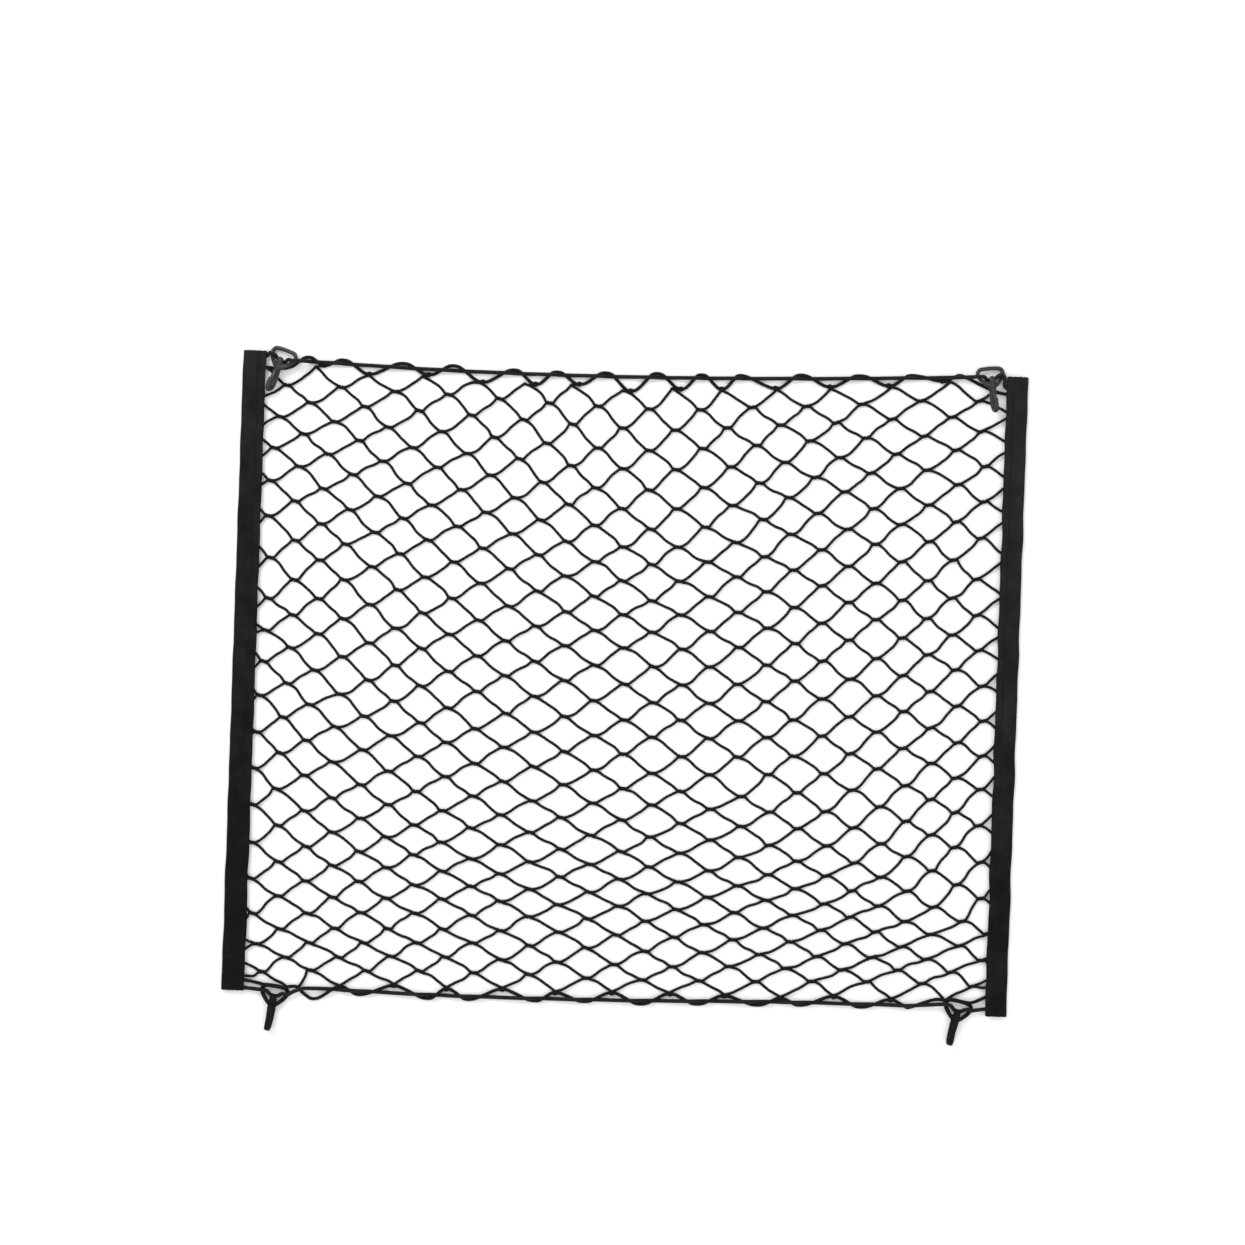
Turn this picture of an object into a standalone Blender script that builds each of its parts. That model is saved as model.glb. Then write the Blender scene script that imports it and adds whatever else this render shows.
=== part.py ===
"""An elastic cargo net, laid out flat: knotted diamond mesh, a folded tape down each side, a draw cord along
the top and bottom edges and a plastic hook at each corner.

Metres, +Z up. X runs along the long edge, +Y points to the top edge, and the surface it rests on is Z = 0.
Tables and plan measures are in millimetres: "across" from the outer edge of the left tape, "down" from the
top line of the panel.
"""
import math
import random
from collections import namedtuple

import bmesh
import bpy
from mathutils import Matrix, Vector

MM = 0.001
GAP = 0.3                      # clearance between pieces that touch
SAME_POINT = 0.01
OBJECT_NAME = "cargo_net"

# The panel
PANEL_WIDTH = 900.0            # over both tapes
ORIGIN_DOWN = 384.1            # the line that the origin lies on, half way down the object with its hooks
TAPE_TOP = 1.5
TAPE_BOTTOM = 734.0

# The folded tapes
TAPE_THICK = 1.0
TAPE_WIDTH_LEFT = 26.3
TAPE_WIDTH_RIGHT = 24.6
TAPE_STEPS = 18                # lengths between sections down a tape
TAPE_RIPPLE = 0.35             # unevenness of the outer edge and the upper layer
# Half way through the tape's thickness, from the lower layer around the fold to the upper one
FoldPoint = namedtuple("FoldPoint", "out height swells")
FOLD = (
    FoldPoint(14, 0.5, 0),
    FoldPoint(3.4, 0.5, 0),
    FoldPoint(1.0, 1.4, 0),
    FoldPoint(0.5, 2.9, 0),
    FoldPoint(1.3, 4.6, 0),
    FoldPoint(4.2, 5.5, 0),
    FoldPoint(9.2, 6.1, 1),
    FoldPoint(17, 6.1, 1),
)

# The net. One half mesh here is about 1.37 of the real one, so that the gaps stay under 300.
TWINE = 3.0                    # thickness and width of the mesh twine
SELVEDGE = 4.0                 # width of the thicker strand along the top and bottom
KNOT_TALL = 4.6
KNOT_REACH = 3.2               # from a knot's middle to where its strands leave
COLUMNS = 21                   # half meshes from tape to tape
LINES = 28                     # half meshes from top to bottom
FIRST_COLUMN, LAST_COLUMN = -14.9, 13.7
FIRST_DIP, LAST_DIP = -17.0, 19.0
STRIP_LEFT = 12.0              # edge strips of the net, hidden in the fold of the tapes
STRIP_RIGHT = PANEL_WIDTH - 12.0
FOLD_LIFT = 2.3                # height of the strips over the surface
FOLD_RAMP = 26.0               # length over which the net comes down from a tape
JITTER = 1.2                   # seeded unevenness of the knots
SEED = 11

# Where the real knots lie, half mesh lines counted from the middle of the panel
Section = namedtuple("Section", "line left left_mid middle right_mid right")
SECTION_COLUMNS = (-14, -7, 0, 7, 13)
KNOTS_ACROSS = (
    Section(-16, 51, 267, 467, 678, 879),
    Section(-10, 36, 254, 473, 697, 884),
    Section(-4, 39, 247, 480, 705, 880),
    Section(2, 33, 249, 484, 709, 890),
    Section(8, 26, 247, 486, 719, 888),
    Section(14, 31, 251, 484, 716, 900),
    Section(18, 42, 258, 482, 708, 896),
)
KNOTS_DOWN = (
    Section(-16, 39, 46, 53, 41, 24),
    Section(-10, 149, 174, 190, 161, 142),
    Section(-4, 278, 297, 308, 288, 273),
    Section(2, 397, 423, 429, 418, 390),
    Section(8, 522, 539, 543, 544, 510),
    Section(14, 646, 639, 640, 643, 641),
    Section(18, 711, 705, 706, 701, 698),
)
# Places where the mesh is tugged out of its even run
Tug = namedtuple("Tug", "across down pull_across pull_down reach")
TUGS = (
    Tug(865, 600, -8, -2, 30),
    Tug(800, 603, 4, 5, 35),
    Tug(120, 255, -3, -5, 45),
    Tug(590, 490, 3, 4, 25),
    Tug(300, 290, 2, 3, 40),
)

# The two edges: the draw cord's line, and how far the selvedge swings to either side of it
Edge = namedtuple("Edge", "name left left_mid middle right_mid right")
EDGE_PLACES = (60, 250, 450, 650, 840)
CORD_LINE = {
    "top": Edge("top", 11.5, 16.8, 16.8, 11.7, 3.6),
    "bottom": Edge("bottom", 727.6, 731.8, 730.5, 725.8, 724.7),
}
SWING_IN = {
    "top": Edge("top", 8, 10, 13, 10, 8),
    "bottom": Edge("bottom", 7.5, 8.5, 8, 8, 13.5),
}
SWING_OUT = 7.0
CREST = 3.5                    # half length of the flat crest of an outward swing
MITRE_LIMIT = 0.5
LAST_RAISED = COLUMNS - 5      # the last column after which the selvedge crosses over the cord
# Heights down the tape at which cord and selvedge enter it, and the selvedge's last run beside the hook
Entry = namedtuple("Entry", "cord_left cord_right selvedge_left selvedge_right selvedge_last")
ENTRIES = {
    "top": Entry(7.0, 15.5, 20.5, 24.5, 17.0),
    "bottom": Entry(731.0, 726.0, 721.0, 711.0, 712.5),
}

# Where the bottom selvedge bends around a hook's eye
Bend = namedtuple("Bend", "edge column across down")
BENDS = (Bend("bottom", 1, 81.0, 725.5),)

# The draw cords
CORD = 4.5                     # diameter
CORD_LOW = CORD / 2
CORD_HIGH = TWINE + GAP + CORD / 2
CORD_IN_FOLD = TAPE_THICK + GAP + CORD / 2
CORD_END = 14.0                # how far from the outer edge of a tape the cord ends
CORD_CLEAR = 1.0               # the cord is level this far outside a tape,
CORD_INSIDE = 3.0              # or this far inside it where it comes down at the tape's edge
RAISED = CORD + GAP            # height of the selvedge where it crosses over the cord
CROSSING = 11.0                # half the length of a crossing
BEND_LIMIT = 16 * MM           # stretches shorter than this are bowed
BOW = 18                       # length of a stretch over its bow
# Where a draw cord bends between a hook and the tape, or a hook and the net
Via = namedtuple("Via", "edge after across down height")
VIAS = (
    Via("bottom", "left", 84.0, 733.4, 6.6),
    Via("bottom", "left", 92.0, 729.3, CORD_HIGH + 0.2),
    Via("bottom", "left", 99.0, 728.7, CORD_HIGH),
    Via("top", "left", 66.5, 12.2, 14.6),
    Via("top", "right", 872.3, 4.8, 8.8),
    Via("top", "right", 873.0, 12.6, 3.7),
)

# The hooks: x to the right, y up the shank towards the eye, z up, from the middle of the eye's bar
EYE_BAR = 4.8                  # diameter of the eye's bar
EyePoint = namedtuple("EyePoint", "x y z")
EYE_HALF = (
    EyePoint(10.5, 0, 0),
    EyePoint(13.8, -2.2, 0),
    EyePoint(14.8, -6, 0),
    EyePoint(12.2, -11.5, 0.8),
    EyePoint(8.2, -16, 3.0),
    EyePoint(3.4, -20, 4.2),
)
HookPoint = namedtuple("HookPoint", "y z radius")
SHANK = (
    HookPoint(-9.2, 5.4, 1.4),
    HookPoint(-10.2, 5.6, 2.5),
    HookPoint(-13, 5.9, 3.0),
    HookPoint(-19, 5.0, 3.1),
    HookPoint(-25, 2.9, 2.8),
    HookPoint(-32, 0.9, 2.6),
    HookPoint(-41, 0.2, 2.4),
    HookPoint(-45.5, 1.6, 2.3),
    HookPoint(-48.4, 5.0, 2.2),
    HookPoint(-48.6, 9.0, 2.1),
    HookPoint(-45.8, 12.4, 2.0),
    HookPoint(-41.2, 13.8, 1.9),
    HookPoint(-35, 13.8, 1.6),
)
TONGUE = (
    HookPoint(-20.5, 6.0, 1.1),
    HookPoint(-24.5, 8.4, 1.1),
    HookPoint(-30, 10.1, 1.0),
    HookPoint(-36, 10.7, 0.9),
)
SHANK_SPREAD = 1.42            # the shank is wider than it is thick
TONGUE_SPREAD = 2.4
SHARP_EDGE = 50                # degrees
# The right half of the cord's way through an eye, from over its side to under the shank's head
WEAVE = (
    EyePoint(15.2, -8.5, 5.9),
    EyePoint(13.2, -8.5, 5.9),
    EyePoint(8.5, -9.1, 4.4),
    EyePoint(3.5, -12.8, -0.1),
)
Pose = namedtuple("Pose", "name edge side across down turn roll lift drop")
HOOKS = (
    Pose("hook_top_left", "top", "left", 49.2, 0.8, 18.5, 17.0, 7.2, -0.5),
    Pose("hook_top_right", "top", "right", 854.8, -6.5, -7.0, -10.0, 5.4, -2.0),
    Pose("hook_bottom_left", "bottom", "left", 62.6, 728.4, 9.0, 0.0, 2.4, 0.0),
    Pose("hook_bottom_right", "bottom", "right", 845.7, 718.7, 12.5, 0.0, 2.4, 0.0),
)

MATERIALS = {
    "twine": ((0.012, 0.012, 0.013, 1), 0.75, 0.0),
    "tape": ((0.018, 0.018, 0.019, 1), 0.85, 0.0),
    "cord": ((0.012, 0.012, 0.014, 1), 0.7, 0.0),
    "hook_plastic": ((0.035, 0.035, 0.038, 1), 0.32, 0.0),
}


def clear_scene():
    for obj in list(bpy.data.objects):
        bpy.data.objects.remove(obj)


def material(name):
    """The finish of one kind of piece."""
    if name in bpy.data.materials:
        return bpy.data.materials[name]
    color, roughness, metallic = MATERIALS[name]
    made = bpy.data.materials.new(name)
    made.use_nodes = True
    shader = made.node_tree.nodes["Principled BSDF"]
    shader.inputs["Base Color"].default_value = color
    shader.inputs["Roughness"].default_value = roughness
    shader.inputs["Metallic"].default_value = metallic
    made.diffuse_color = color
    return made


def world(across, down, height):
    """A plan place and a height in millimetres, in world metres."""
    return Vector(((across - PANEL_WIDTH / 2) * MM, (ORIGIN_DOWN - down) * MM, height * MM))


def smooth(stops, values, at):
    """A smooth curve through values at stops, straight beyond its ends."""
    last = len(stops) - 1
    slopes = []
    for k in range(last + 1):
        before, after = max(k - 1, 0), min(k + 1, last)
        slopes.append((values[after] - values[before]) / (stops[after] - stops[before]))
    if at <= stops[0]:
        return values[0] + slopes[0] * (at - stops[0])
    if at >= stops[last]:
        return values[last] + slopes[last] * (at - stops[last])
    k = max(index for index in range(last) if stops[index] <= at)
    span = stops[k + 1] - stops[k]
    t = (at - stops[k]) / span
    ease = t * t * (3 - 2 * t)
    start_pull = t * (1 - t) ** 2 * span * slopes[k]
    end_pull = t * t * (t - 1) * span * slopes[k + 1]
    return values[k] * (1 - ease) + values[k + 1] * ease + start_pull + end_pull


def mesh_place(table, column, line):
    """One measure of the mesh at any column and line, from its table of sections."""
    lines = [section.line for section in table]
    along = [smooth(SECTION_COLUMNS, section[1:], column) for section in table]
    return smooth(lines, along, line)


def cord_line(edge, across):
    return smooth(EDGE_PLACES, CORD_LINE[edge][1:], across)


def swing_in(edge, across):
    return smooth(EDGE_PLACES, SWING_IN[edge][1:], across)


def inward(edge):
    """+1 where inward is down the panel."""
    return 1 if edge == "top" else -1


def tugged(across, down):
    moved_across, moved_down = across, down
    for tug in TUGS:
        share = math.exp(-((across - tug.across) ** 2 + (down - tug.down) ** 2) / tug.reach**2)
        moved_across += tug.pull_across * share
        moved_down += tug.pull_down * share
    return moved_across, moved_down


# ---------------------------------------------------------------- the net

def column_of(i):
    return FIRST_COLUMN + (LAST_COLUMN - FIRST_COLUMN) * i / COLUMNS


def line_of(j):
    return FIRST_DIP + (LAST_DIP - FIRST_DIP) * (j - 1) / (LINES - 2)


def edge_knot(edge, i):
    """A knot of the outer two lines, which follow the draw cord: a crest where i is even, else a dip."""
    entries = ENTRIES[edge]
    if i == 0:
        return STRIP_LEFT, entries.selvedge_left
    if i == COLUMNS:
        return STRIP_RIGHT, entries.selvedge_right
    line = FIRST_DIP if edge == "top" else LAST_DIP
    across = mesh_place(KNOTS_ACROSS, column_of(i), line)
    if i == COLUMNS - 1:
        return across, entries.selvedge_last
    if i % 2 == 0:
        return across, cord_line(edge, across) - inward(edge) * SWING_OUT
    return across, cord_line(edge, across) + inward(edge) * swing_in(edge, across)


def all_knots():
    """Plan places of the knots, by column and line."""
    uneven = random.Random(SEED)
    knots = {}
    for j in range(LINES + 1):
        for i in range(j % 2, COLUMNS + 1, 2):
            if j <= 1:
                knots[i, j] = edge_knot("top", i)
                continue
            if j >= LINES - 1:
                knots[i, j] = edge_knot("bottom", i)
                continue
            across = mesh_place(KNOTS_ACROSS, column_of(i), line_of(j)) + uneven.uniform(-JITTER, JITTER)
            down = mesh_place(KNOTS_DOWN, column_of(i), line_of(j)) + uneven.uniform(-JITTER, JITTER)
            across, down = tugged(across, down)
            if i == 0:
                across = STRIP_LEFT
            if i == COLUMNS:
                across = STRIP_RIGHT
            knots[i, j] = (across, down)
    return knots


def reach_of(knot):
    """How far from its middle a knot's strands leave it."""
    i, j = knot
    if i in (0, COLUMNS) or j in (0, LINES):
        return 0.0
    return KNOT_REACH / 2 if j in (1, LINES - 1) else KNOT_REACH


def strand(knots, start, end):
    """The middle line of a strand between two knots."""
    (x0, y0), (x1, y1) = knots[start], knots[end]
    side = 1 if x1 > x0 else -1
    return (x0 + side * reach_of(start), y0), (x1 - side * reach_of(end), y1)


def moved_aside(line, distance):
    """A line moved to its right by a distance, seen with down pointing down."""
    (x0, y0), (x1, y1) = line
    length = math.hypot(x1 - x0, y1 - y0)
    step_x, step_y = -(y1 - y0) / length * distance, (x1 - x0) / length * distance
    return (x0 + step_x, y0 + step_y), (x1 + step_x, y1 + step_y)


def meeting(first, second):
    """Where two lines meet."""
    (x1, y1), (x2, y2) = first
    (x3, y3), (x4, y4) = second
    across_1, across_2 = x1 * y2 - y1 * x2, x3 * y4 - y3 * x4
    scale = (x1 - x2) * (y3 - y4) - (y1 - y2) * (x3 - x4)
    return (
        (across_1 * (x3 - x4) - (x1 - x2) * across_2) / scale,
        (across_1 * (y3 - y4) - (y1 - y2) * across_2) / scale,
    )


def level(height):
    return (0.0, height), (1.0, height)


def upright(place):
    return (place, 0.0), (place, 1.0)


def is_raised(i):
    """Whether the selvedge crosses over the cord after this crest."""
    return i % 2 == 0 and 0 < i <= LAST_RAISED


def selvedge_run(edge, knots):
    """The selvedge's middle line from tape to tape: (across, down, raised, column or None)."""
    crest_line, dip_line = (0, 1) if edge == "top" else (LINES, LINES - 1)
    run = [(*knots[0, crest_line], False, 0)]
    for i in range(1, COLUMNS + 1):
        line = dip_line if i % 2 else crest_line
        across, down = knots[i, line]
        if i % 2 or i == COLUMNS - 1:
            run.append((across, down, False, i))
            bends = [bend for bend in BENDS if bend.edge == edge and bend.column == i]
            run += [(bend.across, bend.down, False, None) for bend in bends]
            continue
        run.append((across - CREST, down, False, i))
        run.append((across + CREST, down, is_raised(i), i))
        if is_raised(i):
            next_across, next_down = knots[i + 1, dip_line]
            target = cord_line(edge, across + CROSSING) + inward(edge) * (CORD / 2 + SELVEDGE / 2 + GAP)
            share = (target - down) / (next_down - down)
            run.append((across + CREST + share * (next_across - across - CREST), target, True, None))
    return run


def offset_run(run, distance):
    """The run moved to its right by a distance, with mitred corners."""
    moved = []
    for k, (x, y, raised, column) in enumerate(run):
        x0, y0 = run[max(k - 1, 0)][:2]
        x1, y1 = run[min(k + 1, len(run) - 1)][:2]
        before = Vector((x - x0, y - y0)) if k else Vector((x1 - x, y1 - y))
        after = Vector((x1 - x, y1 - y)) if k < len(run) - 1 else before
        before.normalize()
        after.normalize()
        middle = before + after
        middle.normalize()
        reach = distance / max(middle.dot(before), MITRE_LIMIT)
        moved.append((x - middle.y * reach, y + middle.x * reach, raised, column))
    return moved


def hole_outline(knots, i, j, inner):
    """The corners of one gap: (across, down, raised)."""
    half = TWINE / 2
    top, bottom, left, right = (i, j - 1), (i, j + 1), (i - 1, j), (i + 1, j)
    top_edge, bottom_edge = j == 1, j == LINES - 1
    corners = []

    def side(start, end):
        on_selvedge = (top_edge and top in (start, end)) or (bottom_edge and bottom in (start, end))
        return moved_aside(strand(knots, start, end), SELVEDGE / 2 if on_selvedge else half)

    if i == 0:
        wall = upright(STRIP_LEFT + half)
        upper, lower = side(top, right), side(right, bottom)
        corners = [meeting(wall, upper), meeting(upper, lower), meeting(lower, wall)]
        return [(*corner, False) for corner in corners]
    if i == COLUMNS:
        wall = upright(STRIP_RIGHT - half)
        upper, lower = side(left, top), side(bottom, left)
        corners = [meeting(wall, lower), meeting(lower, upper), meeting(upper, wall)]
        return [(*corner, False) for corner in corners]

    upper_right, lower_right = side(top, right), side(right, bottom)
    lower_left, upper_left = side(bottom, left), side(left, top)
    if top_edge:
        crest = [point for point in inner["top"] if crest_point(point, i, knots, 1)]
        upper_right = edge_side(inner["top"], crest[-1], right)
        upper_left = edge_side(inner["top"], crest[0], left)
        corners += [point[:3] for point in crest]
    else:
        roof = level(knots[top][1] + KNOT_TALL / 2)
        corners += [(*meeting(roof, upper_left), False), (*meeting(roof, upper_right), False)]
    if bottom_edge:
        crest = [point for point in inner["bottom"] if crest_point(point, i, knots, LINES - 1)]
        lower_right = edge_side(inner["bottom"], crest[-1], right)
        lower_left = edge_side(inner["bottom"], crest[0], left)
        base = [point[:3] for point in reversed(crest)]
    else:
        floor = level(knots[bottom][1] - KNOT_TALL / 2)
        base = [(*meeting(floor, lower_right), False), (*meeting(floor, lower_left), False)]
    corners.append((*meeting(upper_right, lower_right), False))
    corners += base
    corners.append((*meeting(lower_left, upper_left), False))
    return corners


def crest_point(point, i, knots, dip_line):
    """Whether a point of the selvedge's inner edge lies between the dips on either side of column i."""
    across, column = point[0], point[3]
    between = knots[i - 1, dip_line][0] < across < knots[i + 1, dip_line][0]
    return between and column not in (i - 1, i + 1)


def edge_side(inner, crest, dip):
    """The selvedge's inner edge from the end of a crest to the dip in column dip[0]."""
    dip_point = next(point for point in inner if point[3] == dip[0])
    return crest[:2], dip_point[:2]


def fold_lift(across):
    """Height of the net over the surface, where it comes down from a tape."""
    from_tape = min(across - TAPE_WIDTH_LEFT, PANEL_WIDTH - TAPE_WIDTH_RIGHT - across)
    share = min(max(1 - from_tape / FOLD_RAMP, 0.0), 1.0)
    return FOLD_LIFT * share * share * (3 - 2 * share)


def net_loops(knots):
    """The outline and the gaps, each a loop of (across, down, raised)."""
    runs = {edge: selvedge_run(edge, knots) for edge in ("top", "bottom")}
    half = SELVEDGE / 2
    outer_top = offset_run(runs["top"], -half)
    outer_bottom = offset_run(runs["bottom"], half)
    inner = {"top": offset_run(runs["top"], half), "bottom": offset_run(runs["bottom"], -half)}
    rim_left, rim_right = STRIP_LEFT - TWINE / 2, STRIP_RIGHT + TWINE / 2
    for run in (outer_top, outer_bottom):
        run[0] = (rim_left, *run[0][1:])
        run[-1] = (rim_right, *run[-1][1:])
    loops = [[point[:3] for point in outer_top + outer_bottom[::-1]]]
    for j in range(1, LINES):
        for i in range((j + 1) % 2, COLUMNS + 1, 2):
            loops.append(hole_outline(knots, i, j, inner))
    return loops


def make_net(collection):
    """The mesh cut from one flat layer, with the raised runs of its selvedge."""
    shape = bmesh.new()
    edges = []
    lifts = {}
    for loop in net_loops(all_knots()):
        corners = []
        for across, down, raised in loop:
            corner = shape.verts.new(world(across, down, 0))
            lifts[corner] = RAISED if raised else fold_lift(across)
            corners.append(corner)
        for k, corner in enumerate(corners):
            edges.append(shape.edges.new((corners[k - 1], corner)))
    bmesh.ops.triangle_fill(shape, edges=edges, use_beauty=True)
    for corner, lift in lifts.items():
        corner.co.z = lift * MM
    grown = bmesh.ops.extrude_face_region(shape, geom=shape.faces[:], use_keep_orig=True)
    upper = [item for item in grown["geom"] if isinstance(item, bmesh.types.BMVert)]
    bmesh.ops.translate(shape, verts=upper, vec=(0, 0, TWINE * MM))
    bmesh.ops.recalc_face_normals(shape, faces=shape.faces[:])
    return add_object("net", shape, "twine", collection)


def add_object(name, shape, finish, collection):
    """A new object from a bmesh."""
    data = bpy.data.meshes.new(name)
    shape.to_mesh(data)
    shape.free()
    obj = bpy.data.objects.new(name, data)
    data.materials.append(material(finish))
    collection.objects.link(obj)
    return obj


# ---------------------------------------------------------------- the tapes

def make_tape(side, collection):
    """A tape folded lengthwise over the edge of the net, open towards it."""
    width = TAPE_WIDTH_LEFT if side == "left" else TAPE_WIDTH_RIGHT
    fold = (FOLD[0]._replace(out=width), *FOLD, FOLD[-1]._replace(out=width))
    over_cord = CORD_IN_FOLD + CORD / 2 + GAP + TAPE_THICK / 2 - FOLD[-1].height
    uneven = random.Random(side)
    shape = bmesh.new()
    rows = []
    for step in range(TAPE_STEPS + 1):
        down = TAPE_TOP + (TAPE_BOTTOM - TAPE_TOP) * step / TAPE_STEPS
        ripple = uneven.uniform(0, TAPE_RIPPLE)
        swell = uneven.uniform(0, TAPE_RIPPLE)
        if step in (0, 1, TAPE_STEPS - 1, TAPE_STEPS):
            swell += over_cord
        row = []
        for point in fold:
            out = point.out + ripple * (1 - point.out / width)
            across = out if side == "left" else PANEL_WIDTH - out
            row.append(shape.verts.new(world(across, down, point.height + swell * point.swells)))
        rows.append(row)
    for upper_row, lower_row in zip(rows, rows[1:]):
        for k in range(len(fold) - 1):
            shape.faces.new((upper_row[k], upper_row[k + 1], lower_row[k + 1], lower_row[k]))
    bmesh.ops.recalc_face_normals(shape, faces=shape.faces[:])
    tape = add_object("band_" + side, shape, "tape", collection)
    walls = tape.modifiers.new("tape thickness", "SOLIDIFY")
    walls.thickness = TAPE_THICK * MM
    walls.offset = 0
    return tape


# ---------------------------------------------------------------- the draw cords

def hook_frame(pose):
    """The matrix from a hook's own millimetres to world metres."""
    place = Matrix.Translation(world(pose.across, pose.down, pose.lift))
    turn = Matrix.Rotation(math.radians(-pose.turn), 4, "Z")
    roll = Matrix.Rotation(math.radians(-pose.roll), 4, "Y")
    drop = Matrix.Rotation(math.radians(pose.drop), 4, "X")
    return place @ turn @ roll @ drop @ Matrix.Scale(MM, 4)


def weave(pose):
    """The cord's points through a hook, left to right: over the eye's side, under the head, over the side.

    At the top right hook the cord turns down at once to the tape.
    """
    turns_down = pose.edge == "top" and pose.side == "right"
    leaving = WEAVE[1:] if turns_down else WEAVE
    points = [Vector((-point.x, point.y, point.z)) for point in WEAVE]
    points += [Vector(point) for point in leaving[::-1]]
    frame = hook_frame(pose)
    return [frame @ point for point in points]


def crossings(edge, knots):
    """(across, cord over the selvedge) of each crossing, left to right."""
    run = selvedge_run(edge, knots)
    found = []
    for (x0, y0, raised, _), (x1, y1, _, _) in zip(run, run[1:]):
        gap_0 = y0 - cord_line(edge, x0)
        gap_1 = y1 - cord_line(edge, x1)
        if gap_0 * gap_1 < 0 and min(x0, x1) > EDGE_PLACES[0]:
            across = x0 + (x1 - x0) * gap_0 / (gap_0 - gap_1)
            found.append((across, not raised))
    return found


def vias(edge, side):
    return [world(via.across, via.down, via.height) for via in VIAS if (via.edge, via.after) == (edge, side)]


def cord_route(edge, knots):
    """Points of a draw cord from tape to tape, in world metres."""
    entries = ENTRIES[edge]
    left = next(pose for pose in HOOKS if pose.edge == edge and pose.side == "left")
    right = next(pose for pose in HOOKS if pose.edge == edge and pose.side == "right")
    tape_right = PANEL_WIDTH - TAPE_WIDTH_RIGHT
    route = [
        world(CORD_END, entries.cord_left, CORD_IN_FOLD),
        world(TAPE_WIDTH_LEFT + CORD_CLEAR, entries.cord_left, CORD_IN_FOLD),
    ]
    route += weave(left) + vias(edge, "left")
    free_from = route[-1].x / MM + PANEL_WIDTH / 2
    for across, over in crossings(edge, knots):
        if across - CROSSING < free_from:
            continue
        height = CORD_HIGH if over else CORD_LOW
        for place in (across - CROSSING, across + CROSSING):
            route.append(world(place, cord_line(edge, place), height))
    route += weave(right)
    route += vias(edge, "right") or [world(tape_right - CORD_CLEAR, entries.cord_right, CORD_IN_FOLD)]
    route += [
        world(tape_right + CORD_INSIDE, entries.cord_right, CORD_IN_FOLD),
        world(PANEL_WIDTH - CORD_END, entries.cord_right, CORD_IN_FOLD),
    ]
    return route


def eased(route, limit):
    """The route with a smooth curve's point half way along each stretch shorter than the limit."""
    points = [route[0]]
    for k in range(1, len(route)):
        start, end = route[k - 1], route[k]
        if (end - start).length < limit and 1 < k < len(route) - 1:
            before, after = route[k - 2], route[k + 1]
            pull = (start - before).normalized() - (after - end).normalized()
            middle = (start + end) / 2 + pull * ((end - start).length / BOW)
            middle.z = max(middle.z, CORD_LOW * MM)
            points.append(middle)
        points.append(end)
    return points


def tube(name, points, radii, resolution=2, cyclic=False):
    """A curve object with a round section along the points."""
    data = bpy.data.curves.new(name, "CURVE")
    data.dimensions = "3D"
    data.bevel_depth = 1.0
    data.bevel_resolution = resolution
    data.use_fill_caps = not cyclic
    spline = data.splines.new("POLY")
    spline.points.add(len(points) - 1)
    for point, place, radius in zip(spline.points, points, radii):
        point.co = (*place, 1)
        point.radius = radius
        point.tilt = math.pi / (4 + 2 * resolution)
    spline.use_cyclic_u = cyclic
    return bpy.data.objects.new(name, data)


def make_cord(edge, knots, collection):
    route = eased(cord_route(edge, knots), BEND_LIMIT)
    cord = tube("draw_cord_" + edge, route, [CORD / 2 * MM] * len(route))
    cord.data.materials.append(material("cord"))
    collection.objects.link(cord)
    return cord


# ---------------------------------------------------------------- the hooks

def as_mesh(curve, spread, collection):
    """The curve's tube as a closed mesh, widened along x."""
    collection.objects.link(curve)
    bpy.context.view_layer.update()
    data = bpy.data.meshes.new_from_object(curve.evaluated_get(bpy.context.evaluated_depsgraph_get()))
    shape = bmesh.new()
    shape.from_mesh(data)
    bmesh.ops.remove_doubles(shape, verts=shape.verts[:], dist=SAME_POINT)
    bmesh.ops.scale(shape, verts=shape.verts[:], vec=(spread, 1, 1))
    bmesh.ops.recalc_face_normals(shape, faces=shape.faces[:])
    shape.to_mesh(data)
    shape.free()
    name = curve.name
    bpy.data.objects.remove(curve)
    made = bpy.data.objects.new(name, data)
    collection.objects.link(made)
    return made


def rib(name, table):
    """A tube along the hook's middle plane."""
    return tube(name, [(0, point.y, point.z) for point in table], [point.radius for point in table])


def hook_mesh(helpers):
    """One hook's mesh in its own millimetres: eye, shank with its J hook, and tongue, as one body."""
    eye_points = [(-point.x, point.y, point.z) for point in EYE_HALF] + list(EYE_HALF[::-1])
    eye = as_mesh(tube("eye", eye_points, [EYE_BAR / 2] * len(eye_points), cyclic=True), 1, helpers)
    shank = as_mesh(rib("shank", SHANK), SHANK_SPREAD, helpers)
    tongue = as_mesh(rib("tongue", TONGUE), TONGUE_SPREAD, helpers)
    for piece in (eye, tongue):
        join = shank.modifiers.new("join " + piece.name, "BOOLEAN")
        join.operation = "UNION"
        join.object = piece
        piece.hide_render = True
        piece.display_type = "WIRE"
    bpy.context.view_layer.update()
    data = bpy.data.meshes.new_from_object(shank.evaluated_get(bpy.context.evaluated_depsgraph_get()))
    for piece in (eye, shank, tongue):
        bpy.data.objects.remove(piece)
    return data


def make_hooks(collection, helpers):
    shared = hook_mesh(helpers)
    shared.name = "hook"
    shared.materials.clear()
    shared.materials.append(material("hook_plastic"))
    shared.shade_smooth()
    shared.set_sharp_from_angle(angle=math.radians(SHARP_EDGE))
    for pose in HOOKS:
        hook = bpy.data.objects.new(pose.name, shared)
        hook.matrix_world = hook_frame(pose)
        collection.objects.link(hook)


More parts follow.
